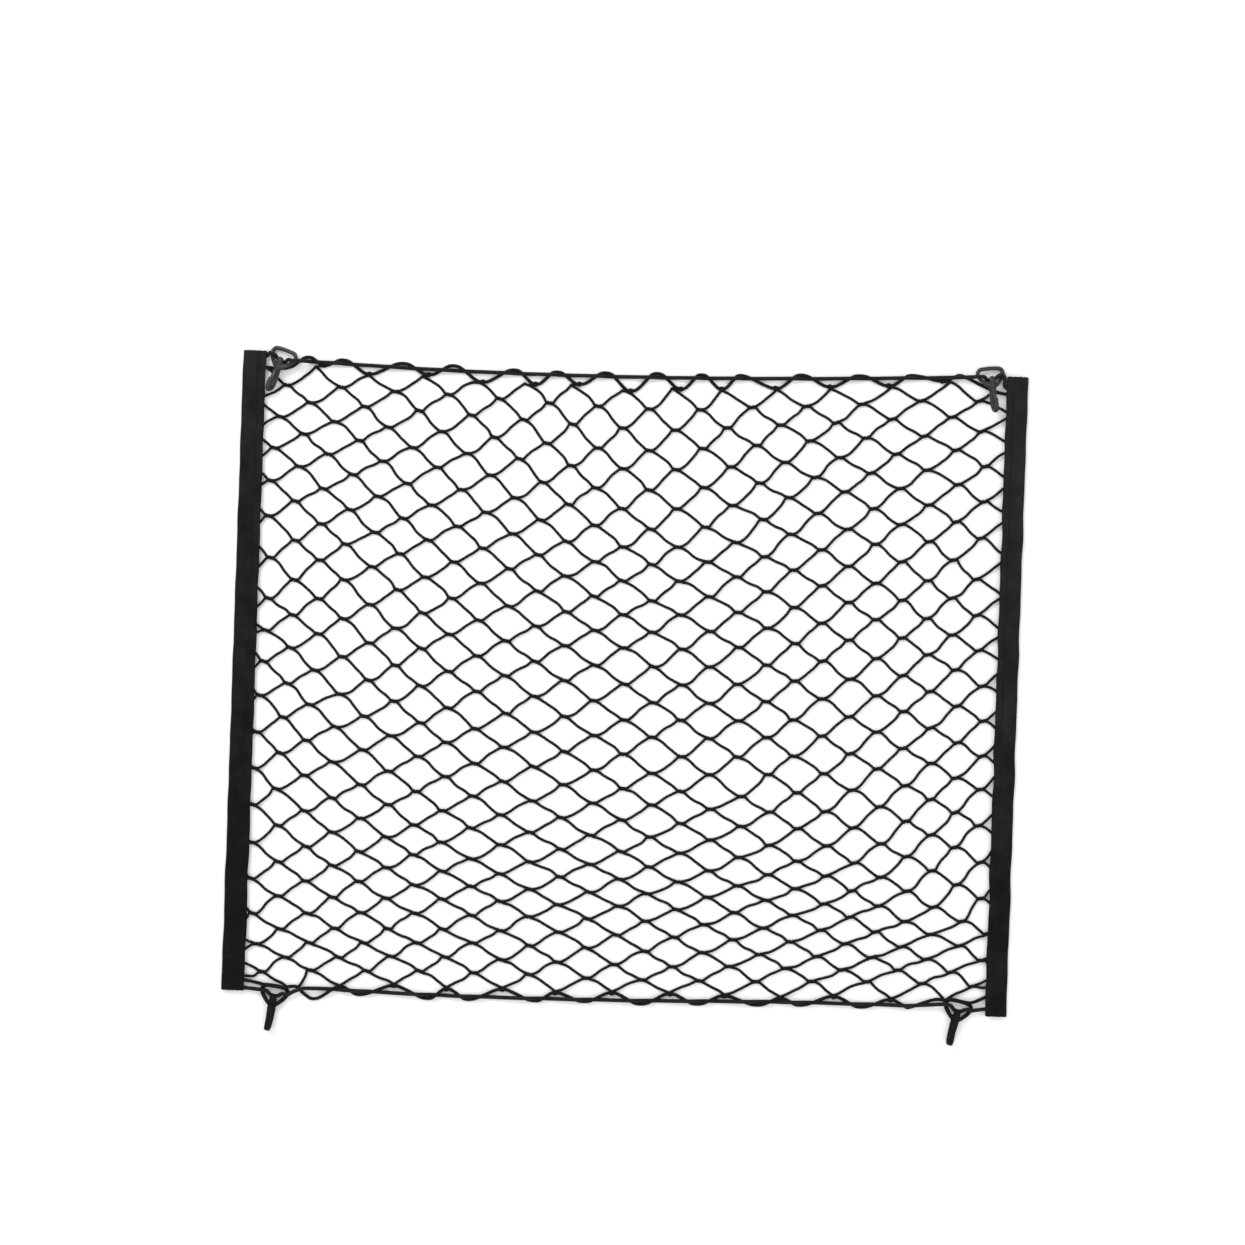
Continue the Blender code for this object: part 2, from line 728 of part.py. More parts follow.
def main():
    clear_scene()
    parts = bpy.data.collections.new(OBJECT_NAME)
    helpers = bpy.data.collections.new("helpers")
    bpy.context.scene.collection.children.link(parts)
    bpy.context.scene.collection.children.link(helpers)
    knots = all_knots()
    make_net(parts)
    for side in ("left", "right"):
        make_tape(side, parts)
    for edge in ("top", "bottom"):
        make_cord(edge, knots, parts)
    make_hooks(parts, helpers)


main()
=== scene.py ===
"""Looks of the elastic cargo net: knotted twine, selvedge, draw cords, stitched tapes and moulded hooks.

Tables and plan measures are in millimetres, as in the part's source: "across" from the outer edge of the
left tape, "down" from the top line of the panel, heights over the surface that the net lies on.
"""
import math
import random
from collections import namedtuple

import bmesh
import bpy
from mathutils import Matrix, Vector

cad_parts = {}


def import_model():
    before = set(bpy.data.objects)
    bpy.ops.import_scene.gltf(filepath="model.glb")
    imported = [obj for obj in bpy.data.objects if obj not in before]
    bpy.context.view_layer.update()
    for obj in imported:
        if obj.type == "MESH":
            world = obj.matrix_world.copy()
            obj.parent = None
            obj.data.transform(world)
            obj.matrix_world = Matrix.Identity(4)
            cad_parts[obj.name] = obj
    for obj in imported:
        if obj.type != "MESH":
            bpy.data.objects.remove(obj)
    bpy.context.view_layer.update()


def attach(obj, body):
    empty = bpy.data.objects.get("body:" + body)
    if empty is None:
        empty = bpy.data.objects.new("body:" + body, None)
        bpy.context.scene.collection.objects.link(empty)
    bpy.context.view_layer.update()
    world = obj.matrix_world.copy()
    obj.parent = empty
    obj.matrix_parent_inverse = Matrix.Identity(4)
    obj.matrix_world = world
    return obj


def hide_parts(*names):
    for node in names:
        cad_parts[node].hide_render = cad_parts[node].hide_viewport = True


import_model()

MM = 0.001
HALF_TURN, FULL_TURN = math.pi, 2 * math.pi

# The panel, as in the part's source
PANEL_WIDTH = 900.0
ORIGIN_DOWN = 384.1
TAPE_TOP, TAPE_BOTTOM = 1.5, 734.0
TAPE_WIDTH = {"left": 26.3, "right": 24.6}
NET_FROM, NET_TO = TAPE_WIDTH["left"], PANEL_WIDTH - TAPE_WIDTH["right"]

# The camera looks straight down, and the panel lies two degrees clockwise in the picture
PICTURE_MIDDLE = (444.9, 298.1)
PICTURE_WIDTH = 1426.5
PICTURE_TURN = 2.0
CAMERA_HEIGHT = 4.2            # metres
LENS = 85.0
CAMERA_SIGHT = 50.0            # the furthest that it sees, metres

# The studio: places and sizes in metres, power in watts
Lamp = namedtuple("Lamp", "name place size power")
LAMPS = (
    Lamp("key_light", (-1.6, 1.8, 2.6), 1.3, 42),
    Lamp("fill_light", (2.2, -1.4, 2.4), 2.2, 14),
)
HORIZON_LIGHT, ZENITH_LIGHT = 0.45, 1.4
FLOOR_SIZE = 14.0
FLOOR_DEPTH = 0.0004           # just under the net, so that their faces don't meet

# Where the real knots lie, in half meshes counted from the middle of the panel
Section = namedtuple("Section", "line left left_mid middle right_mid right")
SECTION_COLUMNS = (-14, -7, 0, 7, 13)
KNOTS_ACROSS = (
    Section(-16, 51, 267, 467, 678, 879),
    Section(-10, 36, 254, 473, 697, 884),
    Section(-4, 39, 247, 480, 705, 880),
    Section(2, 34, 249, 484, 709, 890),
    Section(8, 30, 247, 486, 719, 888),
    Section(14, 33, 251, 484, 716, 900),
    Section(18, 46, 258, 482, 708, 896),
)
KNOTS_DOWN = (
    Section(-16, 39, 46, 53, 41, 24),
    Section(-10, 149, 174, 190, 161, 142),
    Section(-4, 278, 297, 308, 288, 273),
    Section(2, 397, 423, 429, 418, 390),
    Section(8, 522, 539, 543, 544, 510),
    Section(14, 646, 639, 640, 643, 641),
    Section(18, 712, 705, 706, 701, 698),
)
FIRST_COLUMN, LAST_COLUMN = -14, 13
FIRST_LINE, LAST_LINE = -16, 18
# Where the real mesh is pulled aside, how far, and how widely this reaches
Tug = namedtuple("Tug", "across down pull_across pull_down reach")
TUGS = (
    Tug(843, 28, -1.5, 4, 18),
    Tug(892, 42, 0, 3, 25),
    Tug(867, 603, -2, -3.5, 14),
    Tug(840, 105, 4, -0.5, 40),
    Tug(852, 245, -2.5, 2, 40),
    Tug(850, 410, 3, 2, 60),
    Tug(800, 603, 4, 5, 35),
    Tug(848, 627, 6, 3, 26),
    Tug(846, 658, 3, -5, 20),
    Tug(871, 641, 3, -3, 18),
    Tug(862, 698, -4, 3, 18),
    Tug(14, 75, 0, 6, 20),
    Tug(14, 124, 0, 9, 20),
    Tug(14, 262, 0, 6, 24),
    Tug(14, 300, 0, 8, 24),
    Tug(50, 262, 1, 6, 40),
    Tug(95, 440, -6, -1, 60),
    Tug(120, 255, -3, -5, 45),
    Tug(590, 490, 3, 4, 25),
    Tug(300, 290, 2, 3, 40),
    Tug(106, 711, -4, -2, 15),
    Tug(70, 515, -5, -1, 28),
    Tug(150, 392, 1, 4, 40),
    Tug(738, 480, -1, -3.5, 40),
    Tug(736, 572, 1, 3.5, 28),
    Tug(728, 665, -1, -3, 25),
    Tug(522, 468, 0, 3, 35),
    Tug(476, 270, 1, 4, 20),
    Tug(380, 287, 1, 2, 30),
)

# The mesh twine and its knots
TWINE = 3.15
TWINE_SIDES = 8
STRAND_STEPS = 9
STRAND_BOW = 1.7               # how far a slack strand bows to a side
SLACK_LENGTH = 20.0            # shorter strands bow less
TOP_SLACK = 3.6                # how far the slack strands at the top edge bow up to the right
SLACK_FROM, SLACK_TO = 200.0, 440.0    # where along the top edge they are slack
LEVEL_PULL = 0.025             # strands leave a knot a little more level than they run
STRAND_LIFT = 1.6              # how far it lifts off the surface
STRAND_DROP = 3.0              # it comes down from a knot's height over a third of its length
JOINT_BALL = 1.85              # radius of the turn where two strands meet at the selvedge
BALL_STOPS = (-0.95, -0.75, -0.3, 0.3, 0.75, 0.95)     # where along it, as shares of its radius
BALL_FROM = 2.0                # a joint this far from the selvedge's dip gets such a turn
KNOT_JITTER = 1.0              # how far a knot lies from the place that the tables give
KNOT_SWAY = 0.1                # unevenness of the knots' slope, radians
KNOT_HALF = 5.6                # half the length of a knot
KNOT_SPLIT = 1.2               # the two strands at a knot's end leave it this far to each side
KNOT_GRIP = TWINE / 3          # and start this far inside that end
KNOT_TILTS = (0.17, 0.15, 0.1, -0.14, -0.26)   # the knots' slope at each of SECTION_COLUMNS, radians
KNOT_WRAPS = 3.0
WRAP_TWINE = 2.6               # the twine is pulled thin in a wrap
WRAP_RADIUS = 1.35             # of the wraps' middle line
WRAP_TAPER = 0.28              # they are this much narrower at a knot's ends
WRAP_THINNING = 0.25           # and their twine this much thinner
WRAP_FLATNESS = 0.9            # height over width
KNOT_CORE = 1.75               # radius of the two strands held inside the wraps
CORE_STOPS = ((-1, 0.8), (-0.55, 1), (0, 1), (0.55, 1), (1, 0.8))      # shares of its length and radius
KNOT_BEND = 0.7                # how far a knot's middle bends out of line
KNOT_ROOT = 0.3                # strands start inside the knot, at this share of the way to its end
WRAP_STEPS = 9                 # steps in one wrap
WRAP_SIDES = 6
KNOT_HEIGHT = 2.5
TAPE_INSET = 13.0              # strands end in the fold, this far from the tape's outer edge
TAPE_GRIP = 3.0                # knots this far under a tape's edge are left out
FOLD_HEIGHT = 3.6              # height of strands between the tape's layers
FOLD_RAMP = 26.0               # how far from a tape they come down to the surface
SEED = 23

# The selvedge: its outward crest, the dip inward of the draw cord, and the joint of two mesh strands
Swing = namedtuple("Swing", "column crest_across crest_down dip_across dip_down joint_across joint_down")
TOP_SWINGS = (
    Swing(-14, 75.0, 7.0, 93.0, 15.8, 83.5, 17.6),
    Swing(-12, 114.0, 8.8, 145.5, 24.0, 145.0, 25.4),
    Swing(-10, 183.0, 10.4, 213.0, 22.3, 206.0, 24.6),
    Swing(-8, 241.0, 10.9, 275.5, 28.5, 263.0, 29.6),
    Swing(-6, 311.0, 13.4, 336.0, 28.9, 323.5, 28.6),
    Swing(-4, 359.0, 14.0, 386.0, 27.1, 376.5, 28.6),
    Swing(-2, 415.5, 13.0, 445.0, 32.8, 435.5, 32.8),
    Swing(0, 474.0, 11.8, 502.5, 28.6, 492.5, 28.4),
    Swing(2, 525.0, 11.5, 549.0, 27.1, 548.5, 28.6),
    Swing(4, 569.5, 10.7, 610.5, 24.0, 612.0, 25.5),
    Swing(6, 639.0, 7.8, 673.0, 20.1, 673.5, 22.6),
    Swing(8, 706.5, 6.3, 740.0, 16.5, 743.5, 18.2),
    Swing(10, 766.0, 3.9, 801.0, 9.1, 810.5, 9.6),
)
BOTTOM_SWINGS = (
    Swing(-12, 105.0, 741.0, 136.0, 726.2, 136.0, 724.8),
    Swing(-10, 158.0, 734.5, 197.5, 722.9, 197.5, 721.4),
    Swing(-8, 236.5, 736.2, 257.8, 724.6, 257.8, 723.0),
    Swing(-6, 282.7, 735.8, 321.8, 722.8, 321.8, 721.2),
    Swing(-4, 359.0, 734.6, 382.3, 724.6, 382.3, 723.0),
    Swing(-2, 415.0, 733.5, 447.2, 722.6, 447.2, 721.0),
    Swing(0, 480.0, 734.2, 514.0, 721.5, 513.0, 720.0),
    Swing(2, 544.0, 731.9, 576.0, 721.4, 576.0, 720.0),
    Swing(4, 613.5, 730.6, 640.3, 722.0, 640.3, 720.4),
    Swing(6, 662.0, 729.1, 701.0, 718.0, 701.0, 716.6),
    Swing(8, 732.0, 728.8, 766.5, 719.3, 766.5, 717.8),
)
SWINGS = {"top": TOP_SWINGS, "bottom": BOTTOM_SWINGS}
# The selvedge's ends
Stop = namedtuple("Stop", "across down height")
TOP_START = (Stop(13.0, 20.6, 3.6), Stop(28.0, 20.4, 3.4), Stop(44.0, 21.0, 2.0), Stop(56.0, 18.6, 2.0))
TOP_END = (
    Stop(821.0, 1.8, 2.2), Stop(833.3, 6.2, 2.0), Stop(844.0, 11.4, 2.0), Stop(853.5, 15.4, 2.0),
    Stop(864.0, 19.6, 2.0), Stop(876.3, 21.6, 3.0), Stop(887.0, 22.0, 3.6),
)
# At the bottom left it runs over the hook's eye, and a loose end of twine is tucked into the tape
LOOSE_END = (
    Stop(13.0, 719.0, 3.6), Stop(28.0, 717.2, 3.2), Stop(37.0, 717.2, 2.0), Stop(41.5, 713.4, 2.0),
    Stop(46.5, 712.8, 2.4),
)
OVER_LEFT_EYE = (
    Stop(13.0, 721.4, 3.6), Stop(28.0, 722.4, 3.4), Stop(41.0, 724.4, 4.6), Stop(51.0, 726.4, 7.0),
    Stop(62.0, 728.0, 7.0), Stop(73.0, 728.4, 7.0), Stop(82.0, 727.4, 3.8), Stop(88.0, 728.4, 2.0),
    Stop(92.5, 733.5, 2.0),
)
BOTTOM_END = (
    Stop(786.5, 727.6, 2.2), Stop(803.0, 721.2, 6.6), Stop(818.5, 717.0, 2.4), Stop(829.5, 717.2, 4.4),
    Stop(837.0, 716.2, 7.2), Stop(846.0, 717.6, 7.2), Stop(857.5, 719.0, 6.9), Stop(866.0, 716.8, 3.4),
    Stop(876.3, 712.0, 3.0), Stop(887.0, 710.6, 3.6),
)
SELVEDGE_ENDS = {"top": (TOP_START, TOP_END), "bottom": (OVER_LEFT_EYE, BOTTOM_END)}
# Where outer strands end that don't join the selvedge at a dip: side -1 comes from the knot on the left
StrandEnd = namedtuple("StrandEnd", "edge column side across down height")
STRAND_ENDS = (
    StrandEnd("top", -15, 1, 28.0, 21.5, 3.6),
    StrandEnd("top", 13, -1, 864.0, 19.8, 2.0),
    StrandEnd("bottom", -13, -1, 75.2, 727.6, 6.2),
    StrandEnd("bottom", -13, 1, 88.4, 728.0, 2.0),
    StrandEnd("bottom", 11, -1, 829.0, 717.8, 2.0),
    StrandEnd("bottom", 11, 1, 829.0, 717.8, 2.0),
    StrandEnd("bottom", 13, -1, 884.0, 699.5, 3.6),
)
SELVEDGE = 3.9
SELVEDGE_SIDES = 12
SELVEDGE_STEP = 2.2
LOOSE_SIDES = 10
SELVEDGE_LOW, SELVEDGE_HIGH = 2.0, 6.9
DIP_LIFT = 0.2                 # a dip lies on the joint of two strands
JOINT_WRAP_LIFT = 0.6          # the wraps that tie it to them
JOINT_WRAP_REACH = 3.6
JOINT_WRAP_RADIUS = SELVEDGE / 2 + 0.1
CLIMB_REACH, CLIMB_SHARE = 11.0, 0.8   # how early it climbs to cross over the cord
TURN_REACH = 7.0               # half the length of a crest or dip
TURN_SHARE = 0.24              # or this share of the way to the next one where they are close
TURN_DROP = 0.08               # how far its ends have turned towards the next one
ON_CORD = 0.2                  # a point of the selvedge this near to the cord's line is a crossing
UNDER_CORD = 1.0               # and the cord is over it where it rises less than this

# The draw cords
CORD = 4.5
CORD_SIDES = 16
CORD_STEP = 1.8
CORD_LOW, CORD_HIGH = 2.25, 6.1
CORD_IN_FOLD = 3.7             # its height between a tape's layers
CORD_END = 14.0                # from a tape's outer edge
CORD_AT_TAPE = 1.0             # it is at that height from this far outside a tape's inner edge
CORD_UNDER_TAPE = 3.0          # and on the right also this far inside
CROSSING = 5.0                 # half the length of a crossing's level stretch
CROSSING_APART = 1.0           # between the stretches of two crossings
AFTER_HOOK, BEFORE_HOOK = 4.0, 6.0     # the cord is free of its hooks between these
Edge = namedtuple("Edge", "name left left_mid middle right_mid right")
EDGE_PLACES = (60, 250, 450, 650, 840)
CORD_LINE = {
    "top": Edge("top", 11.5, 16.8, 16.8, 11.7, 3.6),
    "bottom": Edge("bottom", 727.6, 731.8, 730.5, 725.8, 724.7),
}
Entry = namedtuple("Entry", "cord_left cord_right")
ENTRIES = {"top": Entry(7.0, 16.2), "bottom": Entry(731.0, 726.0)}
TURN_AT_TAPE = (Stop(872.3, 4.8, 8.8), Stop(873.0, 12.6, 3.9))
AFTER_LEFT_HOOK = {
    "top": (Stop(66.5, 12.2, 14.6),),
    "bottom": (Stop(84.0, 733.0, 6.8), Stop(93.0, 729.6, CORD_HIGH), Stop(103.0, 728.9, CORD_HIGH)),
}

# The hooks: x to the right, y up the shank towards the eye, z up, from the middle of the eye's bar
EYE_BAR = 4.8
EyePoint = namedtuple("EyePoint", "x y z")
EYE_HALF = (
    EyePoint(10.5, 0, 0),
    EyePoint(13.8, -2.2, 0),
    EyePoint(14.8, -6, 0),
    EyePoint(12.2, -11.5, 0.8),
    EyePoint(8.2, -16, 3.0),
    EyePoint(3.4, -20, 4.2),
)
HookPoint = namedtuple("HookPoint", "y z radius")
SHANK = (
    HookPoint(-9.2, 5.4, 1.4),
    HookPoint(-10.2, 5.6, 2.5),
    HookPoint(-13, 5.9, 3.0),
    HookPoint(-19, 5.0, 3.1),
    HookPoint(-25, 2.9, 2.8),
    HookPoint(-32, 0.9, 2.6),
    HookPoint(-41, 0.2, 2.4),
    HookPoint(-45.5, 1.6, 2.3),
    HookPoint(-48.4, 5.0, 2.2),
    HookPoint(-48.6, 9.0, 2.1),
    HookPoint(-45.8, 12.4, 2.0),
    HookPoint(-41.2, 13.8, 1.9),
    HookPoint(-35, 13.8, 1.6),
)
TONGUE = (
    HookPoint(-20.5, 6.0, 1.1),
    HookPoint(-24.5, 8.4, 1.1),
    HookPoint(-30, 10.1, 1.0),
    HookPoint(-36, 10.7, 0.9),
)
SHANK_SPREAD = 1.42
SHANK_FLARE = {"top": 0.0, "bottom": 0.3}      # how much wider the shank's lower part is
FLARE_START, FLARE_REACH = 17.0, 10.0          # how far below the eye's bar it widens, and over what length
TONGUE_SPREAD = 2.4
BAR_SIDES = 20
BAR_STEP = 0.8
TIP_LENGTH, TIP_RADIUS = 0.45, 0.55    # of the rounded ends, as shares of the bar's radius
MOULD_CELL = 0.55              # the three bars are fused at this fineness
MOULD_SMOOTH = 6
MOULD_SOFTNESS = 0.5
# The cord's way through an eye, from its side to under the raised head
WEAVE = (
    EyePoint(15.2, -8.5, 5.9),
    EyePoint(13.2, -8.5, 5.9),
    EyePoint(8.5, -9.1, 4.4),
    EyePoint(3.5, -12.8, -0.1),
)
WEAVE_TAUT = 2.4               # the bottom draw cord is tauter and runs this much nearer to the bar
Pose = namedtuple("Pose", "name edge side across down turn roll lift drop")
HOOKS = (
    Pose("hook_top_left", "top", "left", 49.2, 0.8, 18.5, 17.0, 7.2, -0.5),
    Pose("hook_top_right", "top", "right", 854.8, -6.5, -7.0, -10.0, 5.4, -2.0),
    Pose("hook_bottom_left", "bottom", "left", 62.6, 728.4, 9.0, 0.0, 2.4, 0.0),
    Pose("hook_bottom_right", "bottom", "right", 845.7, 718.7, 12.5, 0.0, 2.4, 0.0),
)

# The tapes: half way through the thickness, from the lower layer around the fold to the upper one
FoldPoint = namedtuple("FoldPoint", "out height swells")
FOLD = (
    FoldPoint(14, 0.6, 0),
    FoldPoint(3.4, 0.6, 0),
    FoldPoint(1.0, 1.4, 0),
    FoldPoint(0.5, 2.9, 0),
    FoldPoint(1.3, 4.6, 0),
    FoldPoint(4.2, 5.5, 0.3),
    FoldPoint(9.2, 6.0, 1),
    FoldPoint(17, 6.0, 1),
)
FOLD_STEP = 0.25
FOLD_SHARP = 60                # degrees: the rim's edges stay sharp, the fold is smooth
FOLD_SETBACK = 0.35            # the fold lies this far inside the tape's measured edge
TAPE_THICK = 1.0
TAPE_ROWS = 300
TAPE_ACROSS = 26               # steps between the fold's ends
TAPE_OVER_CORD = 1.0           # the upper layer rides over the cord and selvedge
OVER_CORD_REACH, OVER_CORD_RAMP = 20.0, 25.0
UPPER_LAYER = 4.0              # the upper layer is all that lies higher than this
RIM_SPOTS = ((0, 0), (0, 0.9), (0.9, 0.9), (0.9, 0))   # the weave on the cut rim, millimetres
# Waves of the tape's edges and of its cut ends: how many, and their lengths and sizes
Ripples = namedtuple("Ripples", "count short long low high")
EDGE_RIPPLES = Ripples(6, 30, 140, 0.1, 0.28)
CUT_RIPPLES = Ripples(4, 3, 9, 0.06, 0.2)
ANY_PHASE = 6.28
EDGE_SHARE, INNER_EDGE = 0.8, 1.4      # the inner edges wave more than the fold
CUT_REACH = 6.0                # how far from its ends the weave is ragged
STITCH_PLACE = 0.70            # of the tape's width, from its outer edge
STITCH_LENGTH = 3.0
STITCH_PITCH = 3.8
STITCH_MARGIN = 4.0            # from a tape's ends to its first stitch
STITCH_THREAD = 0.42           # radius
STITCH_SIDES = 6
STITCH_STOPS = (0, 0.2, 0.5, 0.8, 1)
STITCH_RISE, STITCH_SINK = 0.9, 0.45   # shares of the thread
STITCH_SWAY = 0.12
SEAM_PRESS = 1.1               # how far the stitching pulls the upper layer down
SEAM_REACH = 2.2
# Lumps where twine goes into a tape: the mesh's column there, and their height and reach
TAPE_COLUMN = {"left": -14.6, "right": 12.8}
LUMP_HEIGHT = 0.55
LUMP_LEAST = 0.3               # share of that height
LUMP_REACH = 6.0
LUMP_CUTOFF = 3                # no lump shows beyond this many reaches
LUMP_AT_FOLD = 0.4

# Finishes: colours, noises as (scale, detail, roughness), ranges as (low, high, to low, to high)
FULL = (0.0, 1.0)
Cover = namedtuple("Cover", "name yarns steepness deep faded depth rough")
COVERS = {
    "twine": Cover(
        "twine_cover", 5.0, 0.8, (0.002, 0.002, 0.0021, 1), (0.006, 0.006, 0.0062, 1), 0.0003, 0.7),
    "selvedge": Cover(
        "selvedge_cover", 7.0, 0.8, (0.0025, 0.0025, 0.0026, 1), (0.008, 0.008, 0.0082, 1), 0.0004, 0.7),
    "cord": Cover(
        "draw_cord_cover", 8.0, 0.7, (0.005, 0.005, 0.0052, 1), (0.015, 0.015, 0.0152, 1), 0.00045, 0.65),
}
# Painted shade: the braid's grooves are painted darker, towards the groove colour below, by the share
# COVER_SHADE
COVER_GROOVE_SHADE = (0.002, 0.002, 0.002, 1)
COVER_LINT, COVER_LINT_SHARE = (0.1, 0.1, 0.1, 1), 0.1
COVER_SHADE, COVER_SHINE, COVER_RELIEF = 0.75, 0.16, 0.8
ROUGH_SWING = 0.08             # faded yarn is rougher by this much, and dark yarn less rough
BROAD_FADE = (28.0, 3.0, 0.5)
SMALL_FADE = (420.0, 4.0, 0.65)
FADE_SHARES = (0.55, 0.45)     # of the small and the broad fading
FADE_RANGE = (0.34, 0.66, *FULL)
FIBRES = (2600.0, 2.0, 0.7)
FIBRE_RANGE = (0.6, 0.78, *FULL)
BRAID_GROOVE, WEBBING_GROOVE = 0.55, 0.5       # heights under this are in a groove
WARP_PITCH, WEFT_PITCH = 1.1, 0.8      # millimetres
TAPE_DEEP, TAPE_FADED = (0.0025, 0.0025, 0.0025, 1), (0.008, 0.008, 0.0075, 1)
TAPE_LINT, TAPE_LINT_SHARE = (0.06, 0.06, 0.056, 1), 0.25
# The webbing is mixed towards this paler tone in patches, and more towards the top of the tapes and on the
# right tape
TAPE_PALE_TONE = (0.021, 0.021, 0.0203, 1)
TAPE_PATCHES = (42.0, 4.0, 0.6)
PATCH_WEAR = (0.35, 0.65, -0.05, 0.42)
UPWARD_PALING = (-0.35, 0.35, -0.32, 0.26)       # from metres along the tape
RIGHTWARD_PALING = (-0.4, 0.4, 0.0, 0.24)        # from metres across the net
# TAPE_SHADE is the share of painted shade in the weave's grooves
TAPE_SHADE, TAPE_SHINE, TAPE_RELIEF, TAPE_DEPTH = 0.7, 0.1, 0.8, 0.00025
TAPE_ROUGH = (*FULL, 0.82, 0.95)
# The hooks are one plastic in two copies: the top pair is painted lighter and shinier as painted light, the
# bottom pair darker as painted shade, for how the light falls
Moulding = namedtuple("Moulding", "name deep worn shine")
LIT_AND_SHADED_MOULDINGS = {
    "top": Moulding("moulded_hook_plastic", (0.011, 0.011, 0.0108, 1), (0.027, 0.027, 0.026, 1), 0.34),
    "bottom": Moulding(
        "moulded_hook_plastic_painted_shade", (0.002, 0.002, 0.0021, 1), (0.006, 0.006, 0.0062, 1), 0.08),
}
MOULD_FLOW = (160.0, 3.0, 0.6)
MOULD_GRAIN = (2200.0, 3.0, 0.6)
FLOW_RANGE = (0.35, 0.65, *FULL)
MOULD_ROUGH = (0.3, 0.7, 0.24, 0.4)
GRAIN_SHARE, MOULD_RELIEF, MOULD_DEPTH = 0.3, 0.35, 0.0003
# Painted shade: the thread is painted darker in the hollows between its plies and paler on their ridges
THREAD_DARK, THREAD_PALE = (0.003, 0.003, 0.003, 1), (0.009, 0.009, 0.009, 1)
THREAD_TWIST, THREAD_SHINE, THREAD_DEPTH = 2.0, 0.1, 0.0001
THREAD_ROUGH = (*FULL, 0.8, 0.5)
FLOOR_TONE = (3.0, 2.0, 0.5)
FLOOR_PALE, FLOOR_WHITE = (0.9, 0.9, 0.9, 1), (0.92, 0.92, 0.92, 1)
FLOOR_ROUGH = 0.9
MIX_FIRST, MIX_SECOND, MIX_COLOUR = 6, 7, 2    # a colour Mix node's two inputs and its output


# ---------------------------------------------------------------- places

def world(across, down, height):
    """A plan place and a height in millimetres, in world metres."""
    return Vector(((across - PANEL_WIDTH / 2) * MM, (ORIGIN_DOWN - down) * MM, height * MM))


def smooth(stops, values, at):
    """A smooth curve through values at stops, straight beyond its ends."""
    last = len(stops) - 1
    slopes = []
    for k in range(last + 1):
        before, after = max(k - 1, 0), min(k + 1, last)
        slopes.append((values[after] - values[before]) / (stops[after] - stops[before]))
    if at <= stops[0]:
        return values[0] + slopes[0] * (at - stops[0])
    if at >= stops[last]:
        return values[last] + slopes[last] * (at - stops[last])
    k = max(index for index in range(last) if stops[index] <= at)
    span = stops[k + 1] - stops[k]
    t = (at - stops[k]) / span
    ease = t * t * (3 - 2 * t)
    start_pull = t * (1 - t) ** 2 * span * slopes[k]
    end_pull = t * t * (t - 1) * span * slopes[k + 1]
    return values[k] * (1 - ease) + values[k + 1] * ease + start_pull + end_pull


def mesh_place(table, column, line):
    """One measure of the mesh at any column and line, from its table of sections."""
    lines = [section.line for section in table]
    along = [smooth(SECTION_COLUMNS, section[1:], column) for section in table]
    return smooth(lines, along, line)


def cord_line(edge, across):
    return smooth(EDGE_PLACES, CORD_LINE[edge][1:], across)


def tugged(across, down):
    """A place of the mesh after the pulls that make it uneven."""
    moved_across, moved_down = across, down
    for tug in TUGS:
        share = math.exp(-((across - tug.across) ** 2 + (down - tug.down) ** 2) / tug.reach**2)
        moved_across += tug.pull_across * share
        moved_down += tug.pull_down * share
    return moved_across, moved_down


def eased_share(share):
    share = min(max(share, 0.0), 1.0)
    return share * share * (3 - 2 * share)


def fold_share(across):
    """1 inside a tape, falling to 0 where the net lies on the surface."""
    from_tape = min(across - NET_FROM, NET_TO - across)
    return eased_share(1 - from_tape / FOLD_RAMP)


def laid_height(across):
    """Height of a strand's middle, on the surface or in a tape."""
    return TWINE / 2 + (FOLD_HEIGHT - TWINE / 2) * fold_share(across)


def knot_place(column, line, uneven):
    across = mesh_place(KNOTS_ACROSS, column, line) + uneven.uniform(-KNOT_JITTER, KNOT_JITTER)
    down = mesh_place(KNOTS_DOWN, column, line) + uneven.uniform(-KNOT_JITTER, KNOT_JITTER)
    return tugged(across, down)


# ---------------------------------------------------------------- tubes

